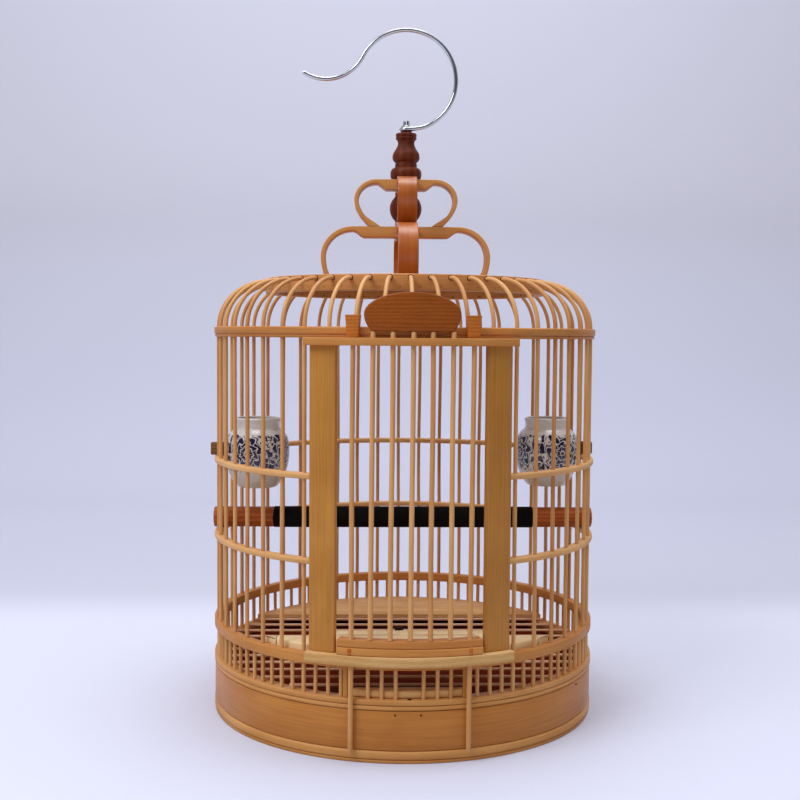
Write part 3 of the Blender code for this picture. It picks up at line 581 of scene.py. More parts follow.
class FloralBand(Effect):
    """A painted band of round peonies with leaves and stems between them."""

    name = "floral_band"
    takes = ("Repeat", "Middle", "Reach")
    gives = ("Blue", "Wash")
    rings: float = 4.2
    leaf_scale: float = 170.0

    def fill(self, n: Nodes, given: bpy.types.NodeOutputs) -> dict[str, Socket]:
        """Draw petals as scalloped rings round each repeat's middle, and leaves as cells.

        The radius from the peony's middle, with a wave of seven lobes on it, is cut in
        rings. A thin white line parts one ring from the next, and short lines part its
        petals. Outside the peony the leaves are the insides of cells, parted by white.
        """
        shift = n.vector("SUBTRACT", n.noise(given["Place"], 260.0)[1], (0.5, 0.5, 0.5))
        shift = n.add("VectorMath", {0: shift, "Scale": 0.0017}, operation="SCALE")[0]
        place = n.vector("ADD", given["Place"], shift)
        parts = n.add("SeparateXYZ", {0: place})
        half = n.times(given["Repeat"], 0.5)
        across = n.math("SUBTRACT", n.math("FLOORED_MODULO", parts[0], given["Repeat"]), half)
        up = n.math("SUBTRACT", parts[1], given["Middle"])
        reach = n.math("SQRT", n.math("ADD", n.math("POWER", across, 2.0), n.math("POWER", up, 2.0)))
        reach = n.math("DIVIDE", reach, given["Reach"])
        turn = n.math("ARCTAN2", up, across)
        lobes = n.math("COSINE", n.gain(turn, 7.0, n.times(reach, 9.0)))
        lobed = n.times(reach, n.gain(lobes, 0.11, 1.0))
        line = n.off_half(n.math("FRACT", n.times(lobed, self.rings)))
        step = n.math("FLOOR", n.gain(lobed, self.rings, 0.5))
        turned = n.gain(turn, 3.5, n.times(step, QUARTER))
        parted = n.fade(n.math("ABSOLUTE", n.math("COSINE", turned)), 0.06, 0.16)
        petal = n.times(n.fade(line, 0.07, 0.14), parted)
        flower = n.times(n.fade(lobed, 0.96, 0.88), petal)

        cells = {"Vector": place, "Scale": self.leaf_scale, "Randomness": 0.9}
        leaves = n.fade(n.add("TexVoronoi", cells, feature="DISTANCE_TO_EDGE")[0], 0.05, 0.09)
        chosen = n.add("SeparateColor", {0: n.add("TexVoronoi", cells)[1]})[0]
        leaves = n.times(leaves, n.math("GREATER_THAN", chosen, 0.22))
        stems = n.fade(n.off_half(n.noise(place, 190.0, 1.0)[0]), 0.035, 0.015)
        foliage = n.times(n.math("MAXIMUM", leaves, stems), n.fade(lobed, 0.98, 1.04))
        painted = n.math("MAXIMUM", flower, foliage)
        edge = n.math("DIVIDE", n.math("ABSOLUTE", up), given["Reach"])
        edge = n.gain(n.noise(given["Place"], 320.0)[0], 0.35, edge)
        wash = n.noise(given["Place"], 420.0, 3.0)[0]
        return {"Blue": n.times(painted, n.fade(edge, 1.14, 1.08)), "Wash": n.fade(wash, 0.35, 0.7)}


@dataclass(frozen=True)
class Finish:
    """A finish that turns itself into a material."""

    name: str

    def material(self) -> bpy.types.Material:
        """Return the material, its shader's inputs joined."""
        made = bpy.data.materials.new(self.name)
        made.use_nodes = True
        nodes = Nodes(made.node_tree)
        nodes.join(made.node_tree.nodes["Principled BSDF"], self.inputs(nodes))
        return made

    def inputs(self, n: Nodes) -> dict:
        """Build the nodes, and return the shader's inputs by name."""
        raise NotImplementedError


@dataclass(frozen=True)
class BambooFinish(Finish):
    """Split and scraped bamboo whose fibres follow the stick."""

    pale: Shade
    deep: Shade
    fleck: Shade
    roughness: float = 0.42
    fineness: float = 1.0
    coat: float = 0.05
    shine: float = 0.25

    def inputs(self, n: Nodes) -> dict:
        """Mix pale and deep bamboo by fibres, clouds and the stick's own tone."""
        tone = n.add("Attribute", attribute_name="tone")["Fac"]
        shift = n.add("CombineXYZ", {"X": n.times(tone, 7.3), "Y": tone})[0]
        fibres = SplitFibres().use(n, Place=n.vector("ADD", n.grain(), shift), Fineness=self.fineness)
        worn = n.worn(22.0)
        depth = n.gain(tone, 0.75, n.times(worn["Patches"], 0.15))
        depth = n.gain(fibres["Fibres"], 0.35, n.gain(fibres["Clouds"], 0.25, depth))
        colour = n.mix(n.math("SUBTRACT", depth, 0.25), light(self.pale), light(self.deep))
        return {"Base Color": n.mix(n.times(fibres["Flecks"], 0.55), colour, light(self.fleck)),
                "Roughness": n.gain(worn["Patches"], 0.12, self.roughness),
                "Specular IOR Level": self.shine, "Coat Weight": self.coat, "Coat Roughness": 0.3,
                "Normal": n.bump(fibres["Height"], 0.25, 0.0003)}


@dataclass(frozen=True)
class WoodFinish(Finish):
    """Sawn or turned wood with growth lines, pores and handled patches."""

    pale: Shade
    deep: Shade
    spacing: float
    roughness: float = 0.5
    coat: float = 0.0
    contrast: float = 0.6
    shine: float = 0.2
    turn: tuple[float, float, float] = (0.0, 0.0, 0.0)

    def inputs(self, n: Nodes) -> dict:
        """Mix two wood colours by growth lines that run along the turned first axis."""
        turned = n.add("Mapping", {"Vector": n.place(), "Rotation": self.turn})[0]
        lines = PlankLines().use(n, Place=turned, Spacing=self.spacing)
        worn = n.worn(30.0)
        depth = n.gain(lines["Pores"], 0.25, n.times(worn["Patches"], 0.3))
        depth = n.gain(lines["Lines"], self.contrast, depth)
        return {"Base Color": n.mix(depth, light(self.pale), light(self.deep)),
                "Roughness": n.gain(worn["Patches"], 0.15, self.roughness),
                "Specular IOR Level": self.shine, "Coat Weight": self.coat, "Coat Roughness": 0.25,
                "Normal": n.bump(lines["Height"], 0.2, 0.0003)}


@dataclass(frozen=True)
class PorcelainFinish(Finish):
    """White glaze with an underglaze blue band."""

    glaze: Shade
    blue: Shade
    wash: Shade
    repeat: float = 0.0438
    middle: float = 0.0305
    reach: float = 0.0165

    def inputs(self, n: Nodes) -> dict:
        """Paint the band where the grain's second value is the height on the cup."""
        painted = FloralBand().use(n, Place=n.grain(), Repeat=self.repeat, Middle=self.middle,
                                   Reach=self.reach)
        worn = n.worn(60.0)
        white, wash = light(self.glaze), light(self.wash)
        glaze = n.mix(0.2, white, n.mix(n.times(worn["Patches"], 0.25), white, wash))
        ink = n.mix(n.times(painted["Wash"], 0.35), light(self.blue), wash)
        return {"Base Color": n.mix(painted["Blue"], glaze, ink),
                "Roughness": n.gain(worn["Patches"], 0.06, 0.12), "Coat Weight": 0.5,
                "Coat Roughness": 0.06, "Normal": n.bump(worn["Patches"], 0.08, 0.0004)}


@dataclass(frozen=True)
class EmeryFinish(Finish):
    """Black cloth with grit glued on it."""

    ground: Shade
    grit: Shade

    def inputs(self, n: Nodes) -> dict:
        """Scatter fine grit that is rough and a little paler than its ground."""
        grains = n.add("TexVoronoi", {"Vector": n.place(), "Scale": 1900.0})[0]
        worn = n.worn(40.0)
        share = n.gain(worn["Specks"], 0.7, n.times(worn["Patches"], 0.25))
        return {"Base Color": n.mix(share, light(self.ground), light(self.grit)),
                "Roughness": n.gain(grains, 0.15, 0.75), "Specular IOR Level": 0.15,
                "Normal": n.bump(grains, 0.6, 0.0003)}


@dataclass(frozen=True)
class SteelFinish(Finish):
    """Polished wire with the fine marks of its drawing."""

    colour: Shade

    def inputs(self, n: Nodes) -> dict:
        """Run faint marks along the wire and leave a few dull patches."""
        marks = SplitFibres().use(n, Place=n.grain(), Fineness=1.4)
        share = n.times(n.worn(35.0)["Patches"], 0.3)
        bright = light(self.colour)
        dull = (*(0.75 * x for x in bright[:3]), 1.0)
        return {"Base Color": n.mix(share, bright, dull), "Metallic": 1.0,
                "Roughness": n.gain(marks["Fibres"], 0.08, 0.12),
                "Normal": n.bump(marks["Height"], 0.1, 0.0001)}


def make_palette() -> dict[str, bpy.types.Material]:
    """Choose the colours of each finish, pale and deep, and return the materials."""
    bamboo, wood = BambooFinish, WoodFinish
    upright = (0.0, QUARTER, 0.0)
    finishes = {
        "sticks": bamboo("peeled_bamboo", (238, 188, 130), (198, 134, 78), (92, 44, 18)),
        "grate": bamboo("scraped_bamboo", (255, 216, 184), (234, 176, 136), (120, 66, 34)),
        "hoops": bamboo("bent_bamboo", (216, 152, 86), (178, 108, 50), (88, 44, 20), fineness=0.5),
        # A darker copy of the crown's bamboo: painted shade on the faces of the front-to-back strips that
        # look at the camera.
        "strips": bamboo("crown_bamboo_painted_shade", (192, 106, 34), (146, 64, 14), (84, 38, 14), 0.3, 0.5, 0.7),
        "skin": bamboo("bamboo_skin", (212, 150, 70), (170, 110, 40), (120, 72, 24), 0.36, 0.5, 0.2),
        "base": bamboo("base_bamboo", (216, 148, 72), (178, 106, 42), (92, 44, 16), 0.36, 0.3, 0.2),
        "rim": bamboo("rim_bamboo", (230, 172, 108), (196, 132, 70), (92, 44, 16), 0.4, 0.3),
        # Paler than the hoops' bamboo: painted light that lifts the shadow the ribs cast on the ring.
        "ring": bamboo("ring_bamboo_painted_light", (230, 166, 104), (188, 122, 64), (70, 34, 14), fineness=0.4),
        "pale": wood("pale_plank", (232, 192, 136), (206, 156, 96), 60.0, contrast=0.45),
        "threshold": wood("threshold_plank", (255, 232, 190), (246, 212, 160), 60.0, contrast=0.4),
        "floor": wood("floor_plank", (244, 200, 142), (216, 162, 104), 60.0),
        "plaque": wood("plaque_wood", (172, 92, 28), (132, 64, 14), 110.0, 0.36, 0.1, 0.45),
        "heads": wood("head_wood", (214, 128, 50), (172, 92, 30), 110.0, 0.4, 0.1, 0.45),
        "perch": wood("perch_wood", (196, 106, 50), (142, 64, 26), 80.0, 0.4, 0.1, 0.5),
        "dark": wood("turned_dark_wood", (120, 50, 20), (62, 20, 7), 45.0, 0.42, contrast=0.4, turn=upright),
        "maroon": wood("maroon_stain", (112, 36, 9), (80, 22, 4), 40.0, 0.7, shine=0.04),
        "cover": wood("cover_plank", (196, 134, 76), (150, 92, 44), 50.0),
        "lug": wood("lug_wood", (150, 112, 80), (98, 66, 42), 120.0),
        "hole": wood("hole_shadow", (60, 24, 10), (34, 12, 6), 120.0, 0.8),
        "porcelain": PorcelainFinish("blue_and_white_glaze", (224, 224, 228), (8, 10, 58), (46, 58, 130)),
        "emery": EmeryFinish("emery_cloth", (7, 5, 5), (30, 26, 25)),
        "steel": SteelFinish("polished_steel", (206, 207, 208))}
    return {key: finish.material() for key, finish in finishes.items()}


# Sub-assemblies


@dataclass
class SubAssembly:
    """A part of the cage that is built and dressed by itself, with the sizes that all share."""

    palette: dict[str, bpy.types.Material]
    cage_r: float = 0.166
    hoop_depth: float = 0.008
    hoop_steps: int = 192
    rod_places: int = 48
    rod_circle_r: float = 0.1622
    ring_r: float = 0.122
    stile_angle: float = math.radians(23.5)
    pieces: list[bpy.types.Object] = field(default_factory=list)

    @property
    def pitch(self) -> float:
        """Angle between two rods."""
        return FULL_TURN / self.rod_places

    def add(self, name: str, look: str, slot: Slot, surfaces: list[Surface], *replaced: str,
            body: Body = Body.CAGE) -> None:
        """Make one piece with a finish of the palette."""
        self.pieces.append(make_piece(name, surfaces, self.palette[look], body, slot, *replaced))

    def build(self) -> None:
        """Build the pieces, dressed and in their places."""
        raise NotImplementedError

    def hoop(self, low: float, high: float, corner: float, tone: float, outer: float | None = None,
             depth: float | None = None, ends: tuple[float, float] | None = None,
             crown: float = 0.0) -> Surface:
        """Bend a strip round the cage.

        The section is a box with round corners. Its outer side may be crowned: the
        radius grows there by the crown times one less the square of the height's
        share.

        Args:
            low: Level of the underside.
            high: Level of the top.
            corner: Radius of the section's corners.
            tone: How deep the strip's own colour is.
            outer: Outer radius.
            depth: Depth of the strip towards the axis.
            ends: Angles of its two ends, or a whole turn.
            crown: How much the outer side is crowned.

        Returns:
            The surface.
        """
        outer, depth = outer or self.cage_r, depth or self.hoop_depth
        section = eased_box(depth, high - low, corner)
        share = 2 * section[:, 1] / (high - low)
        push = crown * (1 - share ** 2) * (section[:, 0] > 0)
        profile = columns(outer - crown - depth / 2 + section[:, 0] + push,
                          (low + high) / 2 + section[:, 1])
        if ends is None:
            return spun(profile, full_circle(self.hoop_steps), tone)
        steps = max(12, int(self.hoop_steps * (ends[1] - ends[0]) / FULL_TURN))
        return spun(profile, np.linspace(*ends, steps + 1), tone, True)


@dataclass
class Base(SubAssembly):
    """Foot plies, the wide band, the bead plies above it and the board inside."""

    ply: float = 0.0026
    tuck: float = 0.0004
    bulge: float = 0.0006
    foot_corners: tuple[float, float] = (0.0008, 0.0016)
    band_corner: float = 0.0009
    bead_corner: float = 0.0012

    def build(self) -> None:
        """Build the base from the foot up."""
        low, high = levels("foot_hoop")
        under, over = self.foot_corners
        self.add("foot_plies", "rim", Slot.BASE, [
            self.hoop(low, low + self.ply, under, 0.8, outer=self.cage_r - self.tuck),
            self.hoop(low + self.ply + SEAM, high, over, 0.25)], "foot_hoop")
        band = self.hoop(*levels("base_band"), self.band_corner, 0.5, crown=self.bulge)
        self.add("wide_band", "base", Slot.BASE, [band], "base_band")
        bead = self.hoop(*levels("bead_hoop"), self.bead_corner, 0.4)
        self.add("bead_plies", "rim", Slot.BASE, [bead], "bead_hoop")
        dress_node("bottom_board", self.palette["maroon"])


@dataclass
class Wall(SubAssembly):
    """Rods that stand in the rim and bend over as the dome, and the hoops threaded on them."""

    rod_r: float = 0.0017
    bar_r: float = 0.00155
    door_place: int = 3
    ring_drop: float = 0.0028
    ring_tuck: float = 0.0006
    sway: float = 0.0004
    rim_ledge: float = 0.0035
    rim_gap: float = 0.0003
    rim_corner: float = 0.0009
    lower_h: float = 0.0081
    lower_corner: float = 0.0011
    waist_corner: float = 0.0014
    shoulder_h: float = 0.0085
    shoulder_ply: float = 0.0024
    shoulder_tuck: float = 0.0006
    shoulder_corners: tuple[float, float] = (0.0008, 0.0012)
    root_low: float = 0.001
    root_high: float = 0.002
    socket_ends: tuple[float, float] = (-0.0004, 0.0002)
    socket_rim: float = 0.0005
    stile_half: float = 0.0113
    stile_back_r: float = 0.164
    gallery_places: tuple = (0.5, 1.0, 1.5, 2.5, 3.0, 3.5)
    gallery_lean: float = 0.002
    band_nails: tuple = (-3.8, 3.0, 58.0, -96.0, 150.0)
    nail_drop: float = 0.0028
    nail_r: float = 0.0007
    nail_ends: tuple[float, float] = (-0.0015, 0.0001)
    pale_tone: float = 0.15
    tone_spread: float = 0.6
    draws: Array = field(default_factory=lambda: np.random.default_rng(11).random((108, 3)))

    def tone(self, draw: float) -> float:
        """Return how deep a stick's own colour is, from a random number."""
        return self.pale_tone + self.tone_spread * draw

    def rod(self, k: int, low: float) -> Surface:
        """Carry a circle up a rod and over the dome.

        Up to the shoulder the path is straight but for a slow sine that a hand-split
        rod has. From there to the top ring it is a quarter ellipse.

        Args:
            k: Place round the cage, in pitches.
            low: Level where it starts.

        Returns:
            The surface.
        """
        draw = self.draws[k]
        shoulder = levels("shoulder_hoop")[0] + self.shoulder_h
        top = levels("top_ring")[1] - self.ring_drop
        inner = self.ring_r - self.ring_tuck
        up = np.linspace(low, shoulder, 25)[:-1]
        turn = np.linspace(0.0, QUARTER, 17)
        radius = np.concatenate([np.full(len(up), self.rod_circle_r),
                                 inner + (self.rod_circle_r - inner) * np.cos(turn)])
        level = np.concatenate([up, shoulder + (top - shoulder) * np.sin(turn)])
        share = np.clip((level - low) / (shoulder - low), 0.0, 1.0)
        drift = self.sway * (draw[0] - 0.5) * 2 * np.sin(math.pi * share * (2 + draw[1]))
        angle = k * self.pitch + drift * (share < 1.0) / self.rod_circle_r
        return tube(polar(radius, angle, level), self.rod_r, 10, self.tone(draw[2]),
                    along_tangent(k * self.pitch))

    def build(self) -> None:
        """Build the rim, rods, hoops, ribs and gallery."""
        places = range(-23, 25)
        rim_high = levels("grate_front_board")[0] - self.rim_gap
        rim_low = levels("bead_hoop")[1] + self.rim_gap
        shoulder = levels("shoulder_hoop")[0]
        rods = [self.rod(k, rim_high - self.root_low) for k in places if abs(k) > self.door_place]
        rods += [self.rod(k, shoulder + self.root_high) for k in places if abs(k) <= self.door_place]
        self.add("wall_rods", "sticks", Slot.BAMBOO, rods, "base_rim")
        rim = self.hoop(rim_low, rim_high, self.rim_corner, 0.5, depth=self.hoop_depth + self.rim_ledge)
        self.add("rim_hoop", "rim", Slot.BAMBOO, [rim], "base_rim")
        high = levels("lower_hoop")[1]
        low = high - self.lower_h
        lower = self.hoop(low, high, self.lower_corner, 0.3)
        self.add("lower_rod_hoop", "hoops", Slot.BAMBOO, [lower], "lower_hoop")
        self.gallery(rim_high, low)
        mouth = self.stile_angle + math.asin(self.stile_half / self.stile_back_r)
        for name in ("lower_mid_hoop", "upper_mid_hoop"):
            ring = self.hoop(*levels(name), self.waist_corner, 0.1, ends=(mouth, FULL_TURN - mouth))
            self.add(name.replace("mid", "waist"), "sticks", Slot.BAMBOO, [ring], name)
        split = shoulder + self.shoulder_ply
        under, over = self.shoulder_corners
        self.add("shoulder_plies", "hoops", Slot.BAMBOO, [
            self.hoop(shoulder, split, under, 0.6, outer=self.cage_r - self.shoulder_tuck),
            self.hoop(split + SEAM, shoulder + self.shoulder_h, over, 0.4)], "shoulder_hoop")
        self.sockets(rim_high)

    def gallery(self, low: float, high: float) -> None:
        """Stand the short bars between the rim and the lower hoop."""
        places = [k + 0.5 for k in range(-24, 24) if not -5 < k < 4]
        places += [side * k for side in (-1, 1) for k in self.gallery_places]
        bars = []
        for place, draw in zip(places, self.draws):
            angle, lean = place * self.pitch, (draw[0] - 0.5) * self.gallery_lean
            path = polar(self.rod_circle_r, angle + np.linspace(-lean, lean, 5),
                         np.linspace(low - self.root_low, high + self.root_high, 5))
            bars.append(tube(path, self.bar_r, 8, self.tone(draw[1]), along_tangent(angle)))
        self.add("gallery_bars", "sticks", Slot.BAMBOO, bars, "lower_hoop")

    def sockets(self, rim_high: float) -> None:
        """Lay dark rims of painted shade where rods enter the top ring, in one empty hole and in the nail
        holes on the base.
        """
        top = levels("top_ring")[1] - self.ring_drop
        start, end = (self.ring_r + reach for reach in self.socket_ends)
        rims = [stud(start, end, k * self.pitch, top, self.rod_r + self.socket_rim, 12)
                for k in range(self.rod_places)]
        empty = polar(self.rod_circle_r, np.zeros(2), np.array([rim_high - 0.0005, rim_high + 0.0001]))
        rims.append(tube(empty, self.rod_r, 12, 0.5, (0.0, 1.0, 0.0)))
        level = levels("base_band")[1] - self.nail_drop
        start, end = (self.cage_r + reach for reach in self.nail_ends)
        rims += [stud(start, end, math.radians(degrees), level, self.nail_r) for degrees in self.band_nails]
        self.add("rod_sockets", "hole", Slot.DARK, rims)


@dataclass
class Slips(SubAssembly):
    """Flat slips between the rim and the lower hoop, below the door's outer bars."""

    angles: tuple[float, float] = (math.radians(-17.4), math.radians(15.2))
    width: float = 0.0036
    depth: float = 0.003
    corner: float = 0.0006

    def build(self) -> None:
        """Stand one slip on each side."""
        section = eased_box(self.width, self.depth, self.corner)
        for middle, side in zip(self.angles, ("left", "right")):
            level = np.linspace(*levels("gallery_slip_" + side), 4)[:, None]
            angle = middle + section[None, :, 0] / self.rod_circle_r
            points = polar(self.rod_circle_r + section[None, :, 1], angle, level)
            slip = Surface(points, paired(level, run_lengths(section)[None, :]), 0.2, True)
            self.add("flat_slip_" + side, "skin", Slot.SLIP, [slip], "gallery_slip_" + side)


@dataclass
class TopRing(SubAssembly):
    """Ring that takes the ribs, its small nails and the board inside it."""

    ring_depth: float = 0.009
    corner: float = 0.001
    outer_nail: tuple[float, float] = (0.0004, 0.0030)
    inner_nail: tuple[float, float] = (0.0007, 0.0022)
    nail_root: float = 0.0008
    nail_proud: float = 0.00015

    def build(self) -> None:
        """Build the ring with a row of nails outside and inside, and dress the board."""
        low, high = levels("top_ring")
        ring = self.hoop(low, high, self.corner, 0.5, outer=self.ring_r, depth=self.ring_depth)
        self.add("rib_ring", "ring", Slot.BASE, [ring], "top_ring")
        faces = ((self.ring_r, 1, self.outer_nail), (self.ring_r - self.ring_depth, -1, self.inner_nail))
        nails = [stud(face - way * self.nail_root, face + way * self.nail_proud, (k + 0.5) * self.pitch,
                      low + rise, radius)
                 for k in range(self.rod_places) for face, way, (radius, rise) in faces]
        self.add("ring_nails", "hole", Slot.DARK, nails)
        dress_node("top_board", self.palette["cover"])


@dataclass
class DoorFrame(SubAssembly):
    """Bent sill and lintel, and the two flat stiles between them."""

    frame_r: float = 0.174
    sill_end: float = math.radians(27.5)
    sill_h: float = 0.0036
    lintel_end: float = math.radians(28.0)
    lintel_grow: float = 0.0006
    lintel_corner: float = 0.0007
    lip: float = 0.0006
    stile_width: float = 0.022
    stile_depth: float = 0.005
    stile_proud: float = 0.003
    stile_crown: float = 0.0006
    stile_corner: float = 0.0013
    end_taper: float = 0.975

    def build(self) -> None:
        """Build the sill, the lintel and the stiles."""
        front = self.frame_r * math.cos(self.sill_end / 15)
        low, high = levels("sill_board")
        inner, lip = self.cage_r - self.hoop_depth + 0.0003, self.cage_r + self.lip
        step = high - self.sill_h
        knots = [(inner, high - 0.0005), (inner + 0.0005, high), (front - 0.0008, high),
                 (front - 0.0002, high - 0.0003), (front, high - 0.0009), (front, low + 0.0009),
                 (front - 0.0003, low + 0.0002), (front - 0.0009, low), (lip + 0.0004, low),
                 (lip, low + 0.0004), (lip, step), (inner + 0.0004, step), (inner, step + 0.0004),
                 (inner, high - 0.0005)]
        sill = spun(knots, np.linspace(-self.sill_end, self.sill_end, 61), 0.4, True)
        self.add("bent_sill", "pale", Slot.PALE, [sill], "sill_board")
        low, high = levels("lintel")
        lintel = self.hoop(low - self.lintel_grow / 2, high + self.lintel_grow, self.lintel_corner, 0.2,
                           outer=front, depth=front - inner, ends=(-self.lintel_end, self.lintel_end))
        self.add("bent_lintel", "hoops", Slot.BAMBOO, [lintel], "lintel")
        # The left stile gets a paler tone and the right a deeper one: painted light and shade for light that
        # falls from the left.
        self.stile(-1, "stile_left", 0.35)
        self.stile(1, "stile_right", 0.6)

    def stile(self, side: int, name: str, tone: float) -> None:
        """Stand a flat slat with a slightly crowned skin side.

        The section is a box with round corners whose front swells by the crown times
        one less the square of the width's share.
        """
        low, high = levels(name)
        section = eased_box(self.stile_width, self.stile_depth - self.stile_crown, self.stile_corner, 5)
        fine, coarse = np.linspace(0, len(section) - 1, 97), np.arange(len(section))
        x, deep = (np.interp(fine, coarse, section[:, i]) for i in range(2))
        out = deep + self.stile_crown * ((1 - (2 * x / self.stile_width) ** 2) * (deep > 0) - 0.5)
        level = eased_levels(low, high, 0.0005, 10)[:, None]
        ease = np.where((level == low) | (level == high), self.end_taper, 1.0)
        middle = self.cage_r + self.stile_proud - self.stile_depth / 2
        points = beside(middle + ease * out, side * self.stile_angle, level, ease * x)
        grain = paired(level, run_lengths(columns(x, deep))[None, :])
        self.add("slat_" + name, "skin", Slot.SLIP, [Surface(points, grain, tone, True)], name)


@dataclass
class SlidingDoor(SubAssembly):
    """Stepped rail, its bars, the oval plaque and the two heads."""

    door_r: float = 0.1692
    bars: int = 7
    bar_r: float = 0.00195
    bar_pitch: float = math.radians(5.13)
    bar_lean: tuple = (0.0009, 0.0010, 0.0007, 0.0009, 0.0002, 0.0006, 0.0015)
    bar_bow: float = 0.0003
    bar_ease: float = 0.0004
    rail_end: float = math.radians(18.8)
    rail_foot_h: float = 0.0057
    rail_back: float = 0.0082
    rail_front: float = 0.0034
    rail_step: float = 0.0011
    rail_ease: float = 0.0007
    seat_r: float = 0.0028
    seat_out: float = 0.0012
    plaque_half: float = 0.0361
    plaque_rise: float = 0.0163
    plaque_fall: float = 0.0237
    plaque_drop: float = 0.0127
    plaque_depth: float = 0.0045
    plaque_corner: float = 0.0010
    head_top: float = 0.0114
    head_foot: float = 0.0088
    head_depth: float = 0.0052
    head_corner: float = 0.0006
    head_taper: float = 0.94

    @property
    def outer_angle(self) -> float:
        """Angle of the outermost bar."""
        return (self.bars - 1) / 2 * self.bar_pitch

    def build(self) -> None:
        """Build the rail, the bars, the plaque and the heads."""
        self.rail()
        draws = np.random.default_rng(5).random((self.bars, 2))
        for i, (draw, lean) in enumerate(zip(draws, self.bar_lean)):
            node = f"door_bar_{i + 1}"
            low, high = levels(node)
            angle = (i - (self.bars - 1) / 2) * self.bar_pitch
            ends = (tuple(polar(self.door_r, angle, level)) for level in (low, high))
            path, full = eased_path(*ends, 24, self.bar_ease)
            share = (path[:, 2] - low) / (high - low)
            bow = self.bar_bow * (draw[0] - 0.5) * 2 * np.sin(math.pi * share * 2)
            path[:, 0] += bow + lean * share
            bar = tube(path, self.bar_r * full, 12, 0.1 + 0.5 * draw[1], along_tangent(angle))
            self.add(f"round_bar_{i + 1}", "sticks", Slot.BAMBOO, [bar], node, body=Body.DOOR)
        self.plaque()
        for side, name in ((-1, "door_head_left"), (1, "door_head_right")):
            self.head(side, name)

    def rail(self) -> None:
        """Bend the rail's two strips, and seat the outer bars in the lower one."""
        low, high = levels("door_rail")
        back, front = self.door_r - self.rail_back, self.door_r + self.rail_front
        step, ease = low + self.rail_foot_h, self.rail_ease
        strips = []
        # The lower strip's paler tone is painted light that brightens it against the shade along the step.
        for bottom, top, face, tone in ((low, step - 0.0002, front, 0.15),
                                        (step + SEAM, high, front - self.rail_step, 0.45)):
            knots = [(back, bottom + ease), (back, top - ease), (back + ease, top), (face - ease, top),
                     (face - 0.0002, top - 0.0002), (face, top - ease), (face, bottom + 0.0004),
                     (face - 0.0004, bottom), (back + ease, bottom), (back, bottom + ease)]
            strips.append(spun(knots, np.linspace(-self.rail_end, self.rail_end, 41), tone, True))
        self.add("stepped_rail", "hoops", Slot.BAMBOO, strips, "door_rail", body=Body.DOOR)
        seats = []
        for angle in (-self.outer_angle, self.outer_angle):
            path = polar(self.door_r + self.seat_out, angle, np.linspace(low + 0.0004, step - 0.0006, 4))
            seats.append(tube(path, self.seat_r, 12, 0.5, along_tangent(angle)))
        self.add("bar_seats", "heads", Slot.RED, seats, body=Body.DOOR)

    def plaque(self) -> None:
        """Bend an oval board round the cage.

        The rim is two half ellipses, one for the rise and one for the fall, cut flat at
        the foot. A row of the grid is the rim drawn in towards the middle; the depth
        follows a round edge and then stays flat. The board's width is an arc of the
        door's circle.
        """
        widest = levels("door_plaque")[0] + self.plaque_drop
        foot = math.asin(self.plaque_drop / self.plaque_fall)
        turn = np.linspace(-foot, math.pi + foot, 121)
        reach = np.where((turn > 0) & (turn < math.pi), self.plaque_rise, self.plaque_fall)
        rim = columns(self.plaque_half * np.cos(turn), reach * np.sin(turn))
        flat = columns(np.linspace(rim[-1, 0], rim[0, 0], 25)[1:], np.full(24, rim[0, 1]))
        rim = np.vstack([rim, flat])
        edge = np.linspace(0.0, math.pi, 9)
        corner, half = self.plaque_corner, self.plaque_depth / 2
        deep, wide = self.plaque_rise * 0.999, self.plaque_rise * 0.5
        inset = np.concatenate([[deep, wide], corner * (1 - np.sin(edge)), [wide, deep]])
        depth = np.concatenate([[half, half], np.where(edge <= QUARTER, half - corner * (1 - np.cos(edge)),
                                                       -half + corner * (1 + np.cos(edge))), [-half, -half]])
        scale = (1 - inset / self.plaque_rise)[:, None]
        x, z = rim[None, :, 0] * scale, widest + rim[None, :, 1] * scale
        board = Surface(polar(self.door_r + depth[:, None], x / self.door_r, z), paired(x, z), 0.5, True)
        self.add("oval_plaque", "plaque", Slot.RED, [board], "door_plaque", body=Body.DOOR)

    def head(self, side: int, name: str) -> None:
        """Taper a block from its broad top to its narrow foot, with eased edges."""
        low, high = levels(name)
        angle = side * self.outer_angle + self.bar_lean[0] / self.door_r
        level = eased_levels(low, high, 0.0004, 6)
        width = self.head_foot + (self.head_top - self.head_foot) * (level - low) / (high - low)
        ease = np.ones(len(level))
        ease[[0, -1]] = self.head_taper
        section = eased_box(width * ease, self.head_depth * ease, self.head_corner)
        x, level = section[..., 0], level[:, None]
        points = beside(self.door_r + section[..., 1], angle, level, x)
        self.add(name.replace("door", "tapered"), "heads", Slot.RED,
                 [Surface(points, paired(level, x), 0.5, True)], name, body=Body.DOOR)


